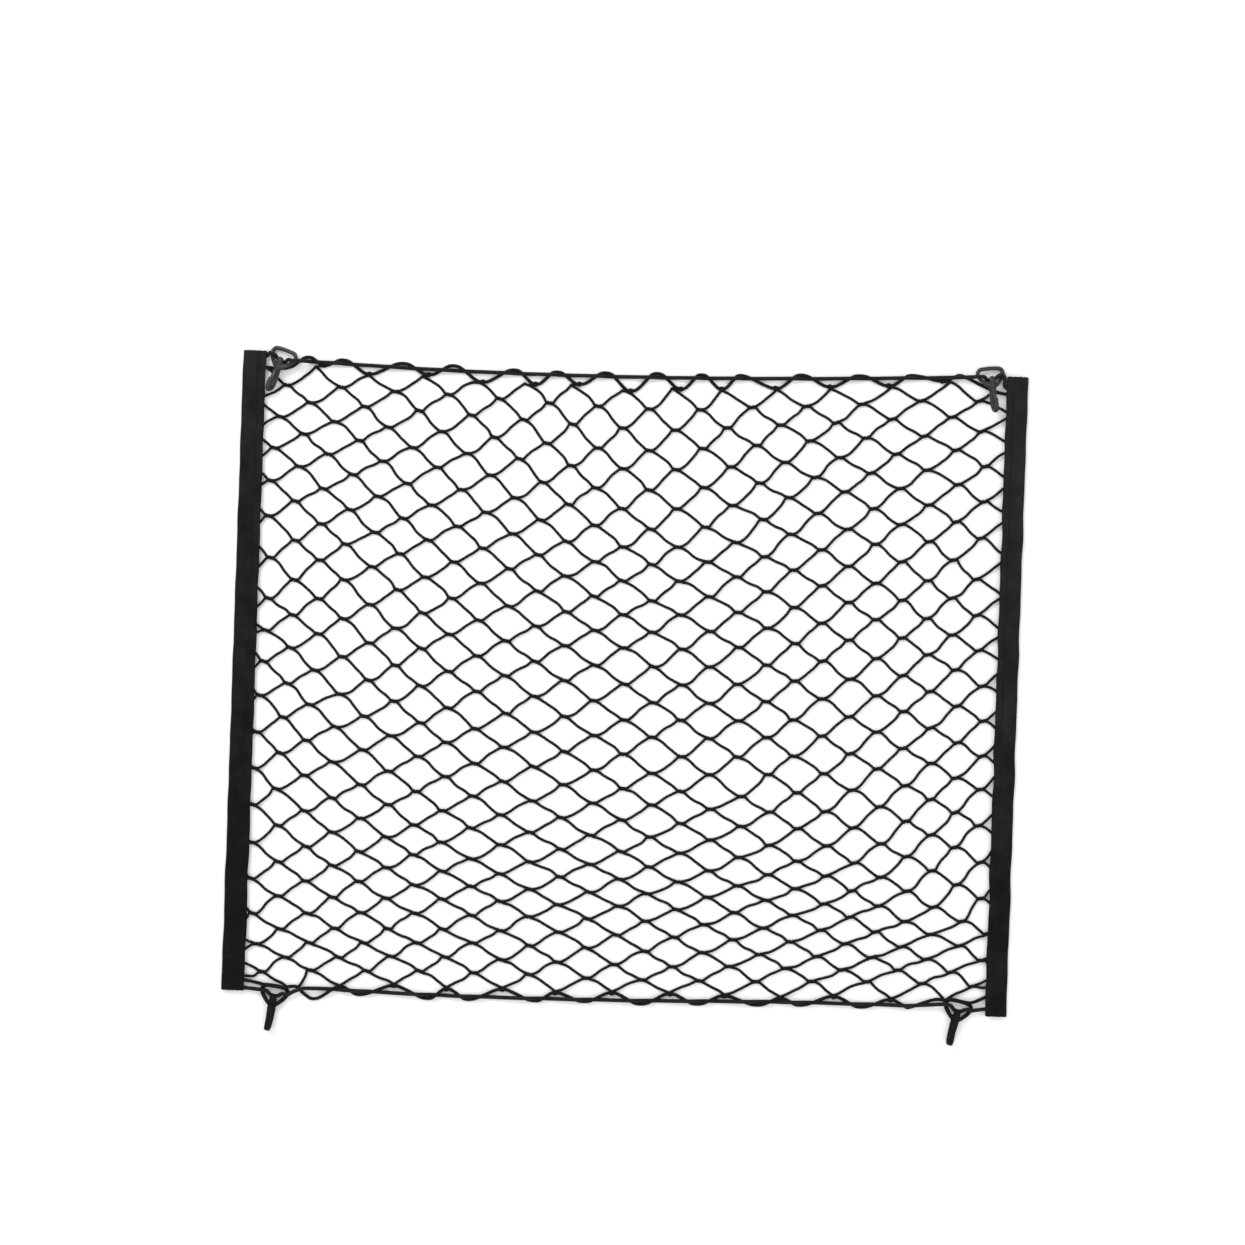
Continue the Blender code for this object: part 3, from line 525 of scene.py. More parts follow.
class Skin:
    """Faces of one piece, with coordinates around and along its tubes for the woven finishes."""

    def __init__(self):
        self.places = []
        self.faces = []
        self.wraps = []

    def tube(self, points, radii, sides, spread=1.0):
        """A closed tube along points in millimetres, with flat ends."""
        rings = len(points)
        directions = []
        for k in range(rings):
            before, after = points[max(k - 1, 0)], points[min(k + 1, rings - 1)]
            directions.append((after - before).normalized())
        side = directions[0].orthogonal().normalized()
        first = len(self.places)
        travelled = 0.0
        along = []
        for k in range(rings):
            side = (side - directions[k] * side.dot(directions[k])).normalized()
            lift = directions[k].cross(side)
            if k:
                travelled += (points[k] - points[k - 1]).length
            along.append(travelled)
            for turn in range(sides):
                angle = FULL_TURN * turn / sides
                offset = side * math.cos(angle) * spread + lift * math.sin(angle)
                self.places.append(points[k] + offset * radii[k])
        girth = FULL_TURN * max(radii)
        for k in range(rings - 1):
            for turn in range(sides):
                after = (turn + 1) % sides
                a = first + k * sides
                self.faces.append((a + turn, a + after, a + sides + after, a + sides + turn))
                low, high = along[k] / girth, along[k + 1] / girth
                left, right = turn / sides, (turn + 1) / sides
                self.wraps.append(((left, low), (right, low), (right, high), (left, high)))
        for ring, order in ((0, -1), (rings - 1, 1)):
            cap = tuple(first + ring * sides + turn for turn in range(sides))[::order]
            self.faces.append(cap)
            self.wraps.append(((0.0, 0.0),) * sides)

    def even_tube(self, points, thickness, sides):
        self.tube(points, [thickness / 2] * len(points), sides)

    def laid_tube(self, stops, thickness, step, sides):
        """An even tube along a smooth curve that stays on the surface."""
        path = smooth_path(stops, step)
        for point in path:
            point.z = max(point.z, thickness / 2)
        self.even_tube(path, thickness, sides)

    def piece(self, name, finish):
        data = mesh_with_spots(name, self.places, self.faces, "around_and_along", self.wraps)
        data.shade_smooth()
        data.materials.append(finish)
        return in_scene(name, data)


def mesh_with_spots(name, places, faces, layer_name, spots):
    """A mesh from places in millimetres, with a spot of the weave for each corner of each face."""
    data = bpy.data.meshes.new(name)
    data.from_pydata([place * MM for place in places], [], faces)
    layer = data.uv_layers.new(name=layer_name)
    layer.data.foreach_set("uv", [value for corners in spots for corner in corners for value in corner])
    data.update()
    return data


def in_scene(name, data):
    made = bpy.data.objects.new(name, data)
    bpy.context.scene.collection.objects.link(made)
    return made


def plan(across, down, height):
    """A plan place in millimetres from the origin, for a tube's points."""
    return world(across, down, height) / MM


def flat_place(point):
    """The across and down of a point in millimetres."""
    return point.x + PANEL_WIDTH / 2, ORIGIN_DOWN - point.y


def smooth_path(points, step):
    """Points a step apart along a smooth curve through the given points."""
    path = [points[0]]
    for k in range(len(points) - 1):
        start, end = points[k], points[k + 1]
        before = points[k - 1] if k else start * 2 - end
        after = points[k + 2] if k + 2 < len(points) else end * 2 - start
        span = (end - start).length
        pull_start = (end - before) * (span / max((end - before).length, span))
        pull_end = (after - start) * (span / max((after - start).length, span))
        count = max(1, round(span / step))
        for index in range(1, count + 1):
            t = index / count
            ease = t * t * (3 - 2 * t)
            pulled = pull_start * (t * (1 - t) ** 2) + pull_end * (t * t * (t - 1))
            path.append(start * (1 - ease) + end * ease + pulled)
    return path


# ---------------------------------------------------------------- the net

def strand_points(start, end, uneven, slack_bow=0.0):
    """A slack strand between two knots' ends: a gentle S that leaves each knot nearly level."""
    (x0, y0, h0), (x1, y1, h1) = start, end
    flat = Vector((x1 - x0, y1 - y0))
    side = Vector((-flat.y, flat.x)).normalized()
    slack = min(flat.length / SLACK_LENGTH, 1.0)
    bow = uneven.uniform(-STRAND_BOW, STRAND_BOW) * slack - slack_bow
    sway = uneven.uniform(-STRAND_BOW, STRAND_BOW) / 2 * slack
    lift = max(0.0, uneven.uniform(-STRAND_LIFT, STRAND_LIFT)) * slack
    level_pull = LEVEL_PULL * abs(flat.y)
    points = []
    for k in range(STRAND_STEPS + 1):
        t = k / STRAND_STEPS
        arch = math.sin(HALF_TURN * t)
        wave = math.sin(FULL_TURN * t)
        across = x0 + flat.x * t + side.x * (bow * arch + sway * wave)
        down = y0 + flat.y * t + side.y * (bow * arch + sway * wave)
        down -= math.copysign(level_pull * wave, flat.y)
        ground = max(TWINE / 2, h0 * (1 - t * STRAND_DROP), h1 * (1 - (1 - t) * STRAND_DROP))
        points.append(plan(across, down, max(ground, laid_height(across)) + lift * arch))
    return points


def beside(across, down, slope, along, out):
    """The place that lies along a knot's slope and out to its side."""
    cos, sin = math.cos(slope), math.sin(slope)
    return across + along * cos - out * sin, down + along * sin + out * cos


def knot_wraps(across, down, height, slope, uneven, reach=KNOT_HALF, radius=WRAP_RADIUS):
    """Wraps of twine around a knot's core, as a helix along the core."""
    count = int(KNOT_WRAPS * WRAP_STEPS)
    start_angle = uneven.uniform(0, FULL_TURN)
    points, radii = [], []
    for k in range(count + 1):
        t = k / count
        swell = math.sin(HALF_TURN * t)
        angle = start_angle + FULL_TURN * KNOT_WRAPS * t
        along = (2 * t - 1) * (reach - WRAP_TWINE / 2)
        bulge = radius * (1 - WRAP_TAPER + WRAP_TAPER * swell)
        raised = max(height + math.sin(angle) * bulge * WRAP_FLATNESS, WRAP_TWINE / 2)
        points.append(plan(*beside(across, down, slope, along, math.cos(angle) * bulge), raised))
        radii.append(WRAP_TWINE / 2 * (1 - WRAP_THINNING + WRAP_THINNING * swell))
    return points, radii


def knot_core(across, down, height, slope, bend):
    """The two strands side by side inside a knot's wraps, as one flat bar with a slight bend."""
    points, radii = [], []
    for share, size in CORE_STOPS:
        along, out = share * (KNOT_HALF - KNOT_CORE), bend * (1 - 2 * share * share)
        points.append(plan(*beside(across, down, slope, along, out), height))
        radii.append(KNOT_CORE * size)
    return points, radii


def joint_ball(across, down, height):
    """The round turn of the twine where two strands meet beside the selvedge."""
    stops = [share * JOINT_BALL for share in BALL_STOPS]
    points = [plan(across + stop, down, height) for stop in stops]
    return points, [math.sqrt(JOINT_BALL**2 - stop**2) for stop in stops]


def swing_after(edge, column):
    """The selvedge's swing whose dip is tied at one odd column of the mesh."""
    return next((swing for swing in SWINGS[edge] if swing.column == column - 1), None)


def joint_of(edge, column, side):
    """Where the mesh strand of one odd column joins the selvedge or goes into the tape."""
    swing = swing_after(edge, column)
    if swing:
        return swing.joint_across, swing.joint_down, SELVEDGE_LOW
    return next((end[3:] for end in STRAND_ENDS if end[:3] == (edge, column, side)), None)


def selvedge_points(edge):
    """The selvedge's route with its heights: over the cord after each crest, under it before."""
    start, end = SELVEDGE_ENDS[edge]
    points = [plan(*stop) for stop in start]
    crests = [(swing.crest_across, swing.crest_down) for swing in SWINGS[edge]] + [end[0][:2]]
    for swing, after in zip(SWINGS[edge], crests[1:]):
        points += crest_and_dip(edge, swing, points[-1], after)
    points += crossing_points(edge, points[-1], plan(*end[0]), under=True)
    return points + [plan(*stop) for stop in end]


def crossing_points(edge, start, end, under):
    """One point where a run from start to end crosses the draw cord."""
    x0, y0 = flat_place(start)
    x1, y1 = flat_place(end)
    gap_0, gap_1 = y0 - cord_line(edge, x0), y1 - cord_line(edge, x1)
    if gap_0 * gap_1 >= 0:
        return []
    share = gap_0 / (gap_0 - gap_1)
    height = SELVEDGE_LOW if under else SELVEDGE_HIGH
    return [plan(x0 + (x1 - x0) * share, y0 + (y1 - y0) * share, height)]


def rounded_turn(across, down, height, before, after):
    """A crest or dip of the selvedge as three points, so that it turns in a round arc."""
    x0, y0 = flat_place(before)
    x1, y1 = after
    points = []
    for x, y in ((x0, y0), (x1, y1)):
        reach = min(TURN_REACH, abs(x - across) * TURN_SHARE)
        side = math.copysign(reach, x - across)
        points.append(plan(across + side, down + (y - down) * TURN_DROP, height))
    return [points[0], plan(across, down, height), points[1]]


def crest_and_dip(edge, swing, before, after):
    """One swing of the selvedge out over the draw cord and back in."""
    dip_place = (swing.dip_across, swing.dip_down)
    crest = rounded_turn(swing.crest_across, swing.crest_down, SELVEDGE_LOW, before, dip_place)
    dip = rounded_turn(*dip_place, SELVEDGE_LOW + DIP_LIFT, crest[-1], after)
    over_cord = crossing_points(edge, crest[-1], dip[0], under=False)
    for crossing in over_cord:
        for near in (crest[-1], dip[0]):
            climbed = max(0.0, 1 - (crossing.xy - near.xy).length / CLIMB_REACH) * CLIMB_SHARE
            near.z += (SELVEDGE_HIGH - near.z) * climbed
    return [*crossing_points(edge, before, crest[0], under=True), *crest, *over_cord, *dip]


def cord_crossings(edge):
    """(across, cord over the selvedge) of each crossing, left to right."""
    found = []
    run = selvedge_points(edge)
    for before, point, after in zip(run, run[1:], run[2:]):
        across, down = flat_place(point)
        passes = (before.y - point.y) * (after.y - point.y) < 0
        if abs(down - cord_line(edge, across)) < ON_CORD and passes:
            found.append((across, point.z < SELVEDGE_LOW + UNDER_CORD))
    return found


def net_knots(uneven):
    """The place of each knot by its column and line."""
    knots = {}
    for line in range(FIRST_LINE, LAST_LINE + 1):
        for column in range(FIRST_COLUMN - 1, LAST_COLUMN + 2):
            if (column + line) % 2:
                continue
            knots[column, line] = knot_place(column, line, uneven)
    return knots


def held_in_tape(across):
    return across < NET_FROM - TAPE_GRIP or across > NET_TO + TAPE_GRIP


def make_net(finish):
    """The full-pitch mesh: strands in one piece, knots in another."""
    uneven = random.Random(SEED)
    knots = net_knots(uneven)
    strands, wraps = Skin(), Skin()
    slopes = {}
    for place, (across, down) in knots.items():
        slope = smooth(SECTION_COLUMNS, KNOT_TILTS, place[0]) + uneven.uniform(-KNOT_SWAY, KNOT_SWAY)
        slopes[place] = slope
        if held_in_tape(across):
            continue
        height = max(KNOT_HEIGHT, laid_height(across))
        wraps.tube(*knot_wraps(across, down, height, slope, uneven), WRAP_SIDES)
        bend = uneven.uniform(-KNOT_BEND, KNOT_BEND)
        wraps.tube(*knot_core(across, down, height, slope, bend), WRAP_SIDES)

    def in_knot(place, along, apart):
        across, down = beside(*knots[place], slopes[place], along, 0.0)
        return across, down + apart, KNOT_HEIGHT

    def knot_root(place, side, upper):
        """Where a strand starts inside its knot, hidden by the wraps."""
        if held_in_tape(knots[place][0]):
            return []
        apart = -KNOT_SPLIT / 2 if upper else KNOT_SPLIT / 2
        return [plan(*in_knot(place, side * KNOT_HALF * KNOT_ROOT, apart))]

    def knot_end(place, side, upper):
        """Where a strand leaves its knot, or ends in a tape."""
        across, down = knots[place]
        if held_in_tape(across):
            return min(max(across, TAPE_INSET), PANEL_WIDTH - TAPE_INSET), down, FOLD_HEIGHT
        return in_knot(place, side * (KNOT_HALF - KNOT_GRIP), -KNOT_SPLIT if upper else KNOT_SPLIT)

    for (column, line), (across, down) in knots.items():
        for step in (-1, 1):
            other = (column + 1, line + step)
            if other not in knots:
                continue
            if held_in_tape(across) and held_in_tape(knots[other][0]):
                continue
            start = knot_end((column, line), 1, step < 0)
            end = knot_end(other, -1, step > 0)
            run = knot_root((column, line), 1, step < 0) + strand_points(start, end, uneven)
            run += knot_root(other, -1, step > 0)
            strands.even_tube(run, TWINE, TWINE_SIDES)
    for edge, line in (("top", FIRST_LINE), ("bottom", LAST_LINE)):
        add_joints(edge, line, knots, (knot_root, knot_end), strands, wraps, uneven)
    return strands.piece("net_strands", finish), wraps.piece("net_knots", finish)


def add_joints(edge, line, knots, at_knot, strands, wraps, uneven):
    """The outer strands, from the last line of knots to the selvedge."""
    knot_root, knot_end = at_knot
    for column in range(FIRST_COLUMN - 1, LAST_COLUMN + 1):
        if (column - line) % 2 == 0:
            continue
        for side in (-1, 1):
            place = joint_of(edge, column, side)
            other = (column + side, line)
            if place is None or other not in knots:
                continue
            start = knot_end(other, -side, edge == "top")
            root = knot_root(other, -side, edge == "top")
            if side > 0:
                slack = TOP_SLACK if edge == "top" and SLACK_FROM < place[0] < SLACK_TO else 0.0
                run = strand_points(place, start, uneven, slack) + root
            else:
                run = root + strand_points(start, place, uneven)
            strands.even_tube(run, TWINE, TWINE_SIDES)
        swing = swing_after(edge, column)
        if not swing:
            continue
        dip = (swing.dip_across, swing.dip_down)
        if abs(swing.dip_across - swing.joint_across) > BALL_FROM:
            joint = (swing.joint_across, swing.joint_down, SELVEDGE_LOW)
            strands.even_tube(strand_points(joint, (*dip, SELVEDGE_LOW), uneven), TWINE, TWINE_SIDES)
            wraps.tube(*joint_ball(*joint), WRAP_SIDES)
        tied_at = (*dip, SELVEDGE_LOW + JOINT_WRAP_LIFT)
        wraps.tube(*knot_wraps(*tied_at, 0.0, uneven, JOINT_WRAP_REACH, JOINT_WRAP_RADIUS), WRAP_SIDES)


def make_selvedge(edge, finish):
    """The thicker strand along one edge of the net; the bottom one has a loose end at its left."""
    skin = Skin()
    skin.laid_tube(selvedge_points(edge), SELVEDGE, SELVEDGE_STEP, SELVEDGE_SIDES)
    if edge == "bottom":
        skin.laid_tube([plan(*stop) for stop in LOOSE_END], TWINE, SELVEDGE_STEP, LOOSE_SIDES)
    return skin.piece("selvedge_" + edge, finish)


# ---------------------------------------------------------------- the draw cords

def hook_frame(pose):
    """The matrix from a hook's own millimetres to world metres."""
    place = Matrix.Translation(world(pose.across, pose.down, pose.lift))
    turn = Matrix.Rotation(math.radians(-pose.turn), 4, "Z")
    roll = Matrix.Rotation(math.radians(-pose.roll), 4, "Y")
    drop = Matrix.Rotation(math.radians(pose.drop), 4, "X")
    return place @ turn @ roll @ drop @ Matrix.Scale(MM, 4)


def weave(pose):
    """The cord's points through a hook: over the eye's side, under the head, over the other side."""
    turns_down = pose.edge == "top" and pose.side == "right"
    leaving = WEAVE[1:] if turns_down else WEAVE
    points = [Vector((-point.x, point.y, point.z)) for point in WEAVE]
    points += [Vector(point) for point in leaving[::-1]]
    if pose.edge == "bottom":
        for point in points:
            point.y += WEAVE_TAUT
    matrix = hook_frame(pose)
    return [(matrix @ point) / MM for point in points]


def hook_at(edge, side):
    return next(pose for pose in HOOKS if pose.edge == edge and pose.side == side)


def cord_route(edge):
    """The draw cord from tape to tape: through both hooks, over and under the selvedge between them."""
    entries = ENTRIES[edge]
    starts = (CORD_END, NET_FROM + CORD_AT_TAPE)
    ends = (NET_TO + CORD_UNDER_TAPE, PANEL_WIDTH - CORD_END)
    route = [plan(across, entries.cord_left, CORD_IN_FOLD) for across in starts]
    route += weave(hook_at(edge, "left"))
    route += [plan(*stop) for stop in AFTER_LEFT_HOOK[edge]]
    free_from = flat_place(route[-1])[0] + AFTER_HOOK
    right = weave(hook_at(edge, "right"))
    free_to = flat_place(right[0])[0] - BEFORE_HOOK
    for across, over in cord_crossings(edge):
        height = CORD_HIGH if over else CORD_LOW
        for place in (across - CROSSING, across + CROSSING):
            if free_from < place < free_to:
                route.append(plan(place, cord_line(edge, place), height))
                free_from = place + CROSSING_APART
    route += right
    if edge == "top":
        route += [plan(*stop) for stop in TURN_AT_TAPE]
    else:
        route.append(plan(NET_TO - CORD_AT_TAPE, entries.cord_right, CORD_IN_FOLD))
    return route + [plan(across, entries.cord_right, CORD_IN_FOLD) for across in ends]


def make_cord(edge, finish):
    skin = Skin()
    skin.laid_tube(cord_route(edge), CORD, CORD_STEP, CORD_SIDES)
    return skin.piece("draw_cord_cover_" + edge, finish)


# ---------------------------------------------------------------- the tapes

def fold_curve(width):
    """Evenly spaced points of the tape's profile: (out, height, swells), and its length."""
    stops = [(width, *FOLD[0][1:]), *FOLD, (width, *FOLD[-1][1:])]
    fine = smooth_path([Vector(stop) for stop in stops], FOLD_STEP)
    total = sum((b.xy - a.xy).length for a, b in zip(fine, fine[1:]))
    spaced, travelled, wanted = [fine[0]], 0.0, total / TAPE_ACROSS
    for a, b in zip(fine, fine[1:]):
        travelled += (b.xy - a.xy).length
        if travelled >= wanted * len(spaced) and len(spaced) < TAPE_ACROSS:
            spaced.append(b)
    spaced.append(fine[-1])
    return spaced, total


def tape_lumps(side):
    """How far down a tape twine goes into it."""
    lines = range(FIRST_LINE, LAST_LINE + 1)
    return [mesh_place(KNOTS_DOWN, TAPE_COLUMN[side], line) for line in lines if line % 2]


def draw_ripples(kind, uneven):
    """(length, phase, size) of the waves that make one edge uneven."""
    drawn = []
    for _ in range(kind.count):
        length = uneven.uniform(kind.short, kind.long)
        phase = uneven.uniform(0, ANY_PHASE)
        drawn.append((length, phase, uneven.uniform(kind.low, kind.high)))
    return drawn


def rippled(ripples, at):
    return sum(size * math.sin(at / length * FULL_TURN + phase) for length, phase, size in ripples)


def tape_grid(side, profile):
    """Rows of points down a tape, half way through its thickness, from its lower layer to its upper."""
    width = TAPE_WIDTH[side]
    uneven = random.Random("tape " + side)
    lumps = [(down, uneven.uniform(LUMP_LEAST, 1.0) * LUMP_HEIGHT) for down in tape_lumps(side)]
    edges = draw_ripples(EDGE_RIPPLES, uneven)
    cut = draw_ripples(CUT_RIPPLES, uneven)

    def centre(row, point):
        share = row / TAPE_ROWS
        down = TAPE_TOP + (TAPE_BOTTOM - TAPE_TOP) * share
        free = point.x / width
        sway = rippled(edges, down) * (1 if free < 0.5 else INNER_EDGE) * EDGE_SHARE
        out = point.x + (sway + FOLD_SETBACK * (1 - free))
        end_gap = min(down - TAPE_TOP, TAPE_BOTTOM - down)
        rise = TAPE_OVER_CORD * eased_share(1 - (end_gap - OVER_CORD_REACH) / OVER_CORD_RAMP)
        rise -= SEAM_PRESS * math.exp(-((free - STITCH_PLACE) * width / SEAM_REACH) ** 2)
        for place, size in lumps:
            if abs(down - place) < LUMP_CUTOFF * LUMP_REACH:
                lump = size * math.exp(-((down - place) / LUMP_REACH) ** 2)
                rise += lump * (LUMP_AT_FOLD + (1 - LUMP_AT_FOLD) * free)
        down += rippled(cut, point.x) * (1 if share > 0.5 else -1) * max(0.0, 1 - end_gap / CUT_REACH)
        across = out if side == "left" else PANEL_WIDTH - out
        return plan(across, down, point.y + rise * point.z)

    return [[centre(row, point) for point in profile] for row in range(TAPE_ROWS + 1)]


def tape_skin(side, grid):
    """The tape's points on both faces of its thickness, outer face first."""
    places = []
    rows, last = TAPE_ROWS, TAPE_ACROSS
    outward = 1 if side == "left" else -1
    for layer in (0.5, -0.5):
        for row in range(rows + 1):
            for index in range(last + 1):
                along = grid[row][min(index + 1, last)] - grid[row][max(index - 1, 0)]
                ahead = grid[min(row + 1, rows)][index] - grid[max(row - 1, 0)][index]
                normal = along.cross(ahead).normalized() * outward
                places.append(grid[row][index] + normal * TAPE_THICK * layer)
    return places


def make_tape(side, finish):
    """The folded tape, closed, with its yarns laid out in millimetres for the weave."""
    profile, total = fold_curve(TAPE_WIDTH[side])
    grid = tape_grid(side, profile)
    rows, count = TAPE_ROWS, TAPE_ACROSS + 1
    pitch_across, pitch_down = total / TAPE_ACROSS, (TAPE_BOTTOM - TAPE_TOP) / rows
    inner = (rows + 1) * count
    faces, spots = [], []
    for row in range(rows):
        for index in range(TAPE_ACROSS):
            a = row * count + index
            b = a + inner
            left, right = index * pitch_across, (index + 1) * pitch_across
            upper, lower = row * pitch_down, (row + 1) * pitch_down
            weave_spots = ((left, upper), (right, upper), (right, lower), (left, lower))
            faces += [(a, a + 1, a + count + 1, a + count), (b + count, b + count + 1, b + 1, b)]
            spots += [weave_spots, weave_spots[::-1]]
    rim = list(range(count))
    rim += [row * count + TAPE_ACROSS for row in range(1, rows + 1)]
    rim += [rows * count + index for index in range(TAPE_ACROSS - 1, -1, -1)]
    rim += [row * count for row in range(rows - 1, 0, -1)]
    for start, end in zip(rim, rim[1:] + rim[:1]):
        faces.append((end, start, start + inner, end + inner))
        spots.append(RIM_SPOTS)
    data = mesh_with_spots("tape_" + side, tape_skin(side, grid), faces, "yarns", spots)
    shape = bmesh.new()
    shape.from_mesh(data)
    bmesh.ops.recalc_face_normals(shape, faces=shape.faces[:])
    shape.to_mesh(data)
    shape.free()
    data.shade_smooth()
    data.set_sharp_from_angle(angle=math.radians(FOLD_SHARP))
    data.materials.append(finish)
    return in_scene("tape_" + side, data), grid, total


def make_stitches(side, grid, finish):
    """The row of lock stitches through both layers, seen on the upper one."""
    skin = Skin()
    uneven = random.Random("stitches " + side)
    middle_row = grid[TAPE_ROWS // 2]
    upper = [index for index, point in enumerate(middle_row) if point.z > UPPER_LAYER]

    def from_seam(index):
        across, _ = flat_place(middle_row[index])
        out = across if side == "left" else PANEL_WIDTH - across
        return abs(out - STITCH_PLACE * TAPE_WIDTH[side])

    column = min(upper, key=from_seam)
    row_pitch = (TAPE_BOTTOM - TAPE_TOP) / TAPE_ROWS
    for k in range(int((TAPE_BOTTOM - TAPE_TOP - 2 * STITCH_MARGIN) / STITCH_PITCH)):
        start = STITCH_MARGIN + k * STITCH_PITCH
        points = []
        sway = uneven.uniform(-STITCH_SWAY, STITCH_SWAY)
        for t in STITCH_STOPS:
            at = (start + STITCH_LENGTH * t) / row_pitch
            row = min(int(at), TAPE_ROWS - 1)
            base = grid[row][column].lerp(grid[row + 1][column], at - row)
            sunk = TAPE_THICK / 2 + STITCH_THREAD * (STITCH_RISE * math.sin(HALF_TURN * t) - STITCH_SINK)
            points.append(base + Vector((sway, 0, sunk)))
        skin.even_tube(points, 2 * STITCH_THREAD, STITCH_SIDES)
    return skin.piece("stitches_" + side, finish)


# ---------------------------------------------------------------- the hooks

def bar(points, radii, spread=1.0, flare=0.0):
    """One moulded bar as a closed mesh in the hook's own millimetres, widened below the neck."""
    skin = Skin()
    skin.tube(points, radii, BAR_SIDES)
    places = []
    for place in skin.places:
        wider = 1 + flare * eased_share((-FLARE_START - place.y) / FLARE_REACH)
        places.append(Vector((place.x * spread * wider, place.y, place.z)))
    return places, skin.faces


def profile_bar(table, spread, flare=0.0):
    """A bar along a table of its middle line and radius, with rounded ends."""
    path = smooth_path([Vector((point.radius, point.y, point.z)) for point in table], BAR_STEP)
    radii = [point.x for point in path]
    points = [Vector((0, point.y, point.z)) for point in path]
    first = points[0] + (points[0] - points[1]).normalized() * radii[0] * TIP_LENGTH
    last = points[-1] + (points[-1] - points[-2]).normalized() * radii[-1] * TIP_LENGTH
    radii = [radii[0] * TIP_RADIUS, *radii, radii[-1] * TIP_RADIUS]
    return bar([first, *points, last], radii, spread, flare)


def moulded_hook(finish, flare):
    """Eye, shank and tongue fused into one smooth moulding."""
    half = [Vector(point) for point in EYE_HALF]
    ring = [Vector((-point.x, point.y, point.z)) for point in half] + half[::-1]
    closed = smooth_path(ring[-2:] + ring + ring[:2], BAR_STEP)
    eye = bar(closed, [EYE_BAR / 2] * len(closed))
    shape = bmesh.new()
    bars = (eye, profile_bar(SHANK, SHANK_SPREAD, flare), profile_bar(TONGUE, TONGUE_SPREAD))
    for places, faces in bars:
        corners = [shape.verts.new(place) for place in places]
        for face in faces:
            shape.faces.new([corners[index] for index in face])
    data = bpy.data.meshes.new("moulded_hook")
    shape.to_mesh(data)
    shape.free()
    helper = in_scene("moulded_hook", data)
    fused = helper.modifiers.new("fused", "REMESH")
    fused.mode = "VOXEL"
    fused.voxel_size = MOULD_CELL
    soft = helper.modifiers.new("soft", "SMOOTH")
    soft.factor = MOULD_SOFTNESS
    soft.iterations = MOULD_SMOOTH
    bpy.context.view_layer.update()
    made = bpy.data.meshes.new_from_object(helper.evaluated_get(bpy.context.evaluated_depsgraph_get()))
    bpy.data.objects.remove(helper)
    made.materials.clear()
    made.materials.append(finish)
    made.shade_smooth()
    return made


def make_hooks(finishes):
    """One moulding for each edge's two hooks, copied to their places; the top pair has a lighter finish
    with painted light, the bottom pair a darker one with painted shade.
    """
    shared = {edge: moulded_hook(finish, SHANK_FLARE[edge]) for edge, finish in finishes.items()}
    made = []
    for pose in HOOKS:
        data = shared[pose.edge].copy()
        data.transform(hook_frame(pose))
        made.append(in_scene("moulded_" + pose.name, data))
    return made


# ---------------------------------------------------------------- finishes

class Graph:
    """Short calls for building a node tree."""

    def __init__(self, tree):
        self.tree = tree

    def node(self, kind, **settings):
        made = self.tree.nodes.new(kind)
        for name, value in settings.items():
            setattr(made, name, value)
        return made

    def put(self, socket, value):
        if isinstance(value, bpy.types.NodeSocket):
            self.tree.links.new(value, socket)
        else:
            socket.default_value = value

    def math(self, operation, first, second=0.0, third=0.0):
        made = self.node("ShaderNodeMath", operation=operation)
        for socket, value in zip(made.inputs, (first, second, third)):
            self.put(socket, value)
        return made.outputs[0]

    def mix(self, share, first, second):
        made = self.node("ShaderNodeMix", data_type="RGBA")
        self.put(made.inputs[0], share)
        self.put(made.inputs[MIX_FIRST], first)
        self.put(made.inputs[MIX_SECOND], second)
        return made.outputs[MIX_COLOUR]

    def axes(self, vector):
        parts = self.node("ShaderNodeSeparateXYZ")
        self.put(parts.inputs[0], vector)
        return parts.outputs

    def ridges(self, value, turn=HALF_TURN):
        """Rounded ridges along a value, one for each half turn of a sine."""
        return self.math("ABSOLUTE", self.math("SINE", self.math("MULTIPLY", value, turn)))

    def noise(self, where, scale, detail, rough):
        made = self.node("ShaderNodeTexNoise")
        self.put(made.inputs["Vector"], where)
        made.inputs["Scale"].default_value = scale
        made.inputs["Detail"].default_value = detail
        made.inputs["Roughness"].default_value = rough
        return made.outputs["Fac"]

    def spread(self, value, low, high, to_low, to_high):
        made = self.node("ShaderNodeMapRange")
        for name, given in (("Value", value), ("From Min", low), ("From Max", high),
                            ("To Min", to_low), ("To Max", to_high)):
            self.put(made.inputs[name], given)
        return made.outputs["Result"]


def group_tree(name, inputs, outputs):
    """A shader node group. Each input is (label, kind), with a value where it has a default."""
    tree = bpy.data.node_groups.new(name, "ShaderNodeTree")
    for label, kind, *value in inputs:
        socket = tree.interface.new_socket(label, in_out="INPUT", socket_type="NodeSocket" + kind)
        if value:
            socket.default_value = value[0]
    for label, kind in outputs:
        tree.interface.new_socket(label, in_out="OUTPUT", socket_type="NodeSocket" + kind)
    graph = Graph(tree)
    return graph, graph.node("NodeGroupInput").outputs, graph.node("NodeGroupOutput").inputs


def over_and_under(graph, out, first, second, groove):
    """Height of two sets of yarns that pass over and under each other, and a mask of their grooves, where
    shade is painted.
    """
    first_ridge, second_ridge = graph.ridges(first), graph.ridges(second)
    cells = graph.math("ADD", graph.math("FLOOR", first), graph.math("FLOOR", second))
    over = graph.math("PINGPONG", cells, 1.0)
    gap = graph.math("SUBTRACT", first_ridge, second_ridge)
    top = graph.math("MULTIPLY_ADD", gap, over, second_ridge)
    graph.put(out["Height"], top)
    graph.put(out["Groove shade"], graph.spread(top, 0.0, groove, 1.0, 0.0))


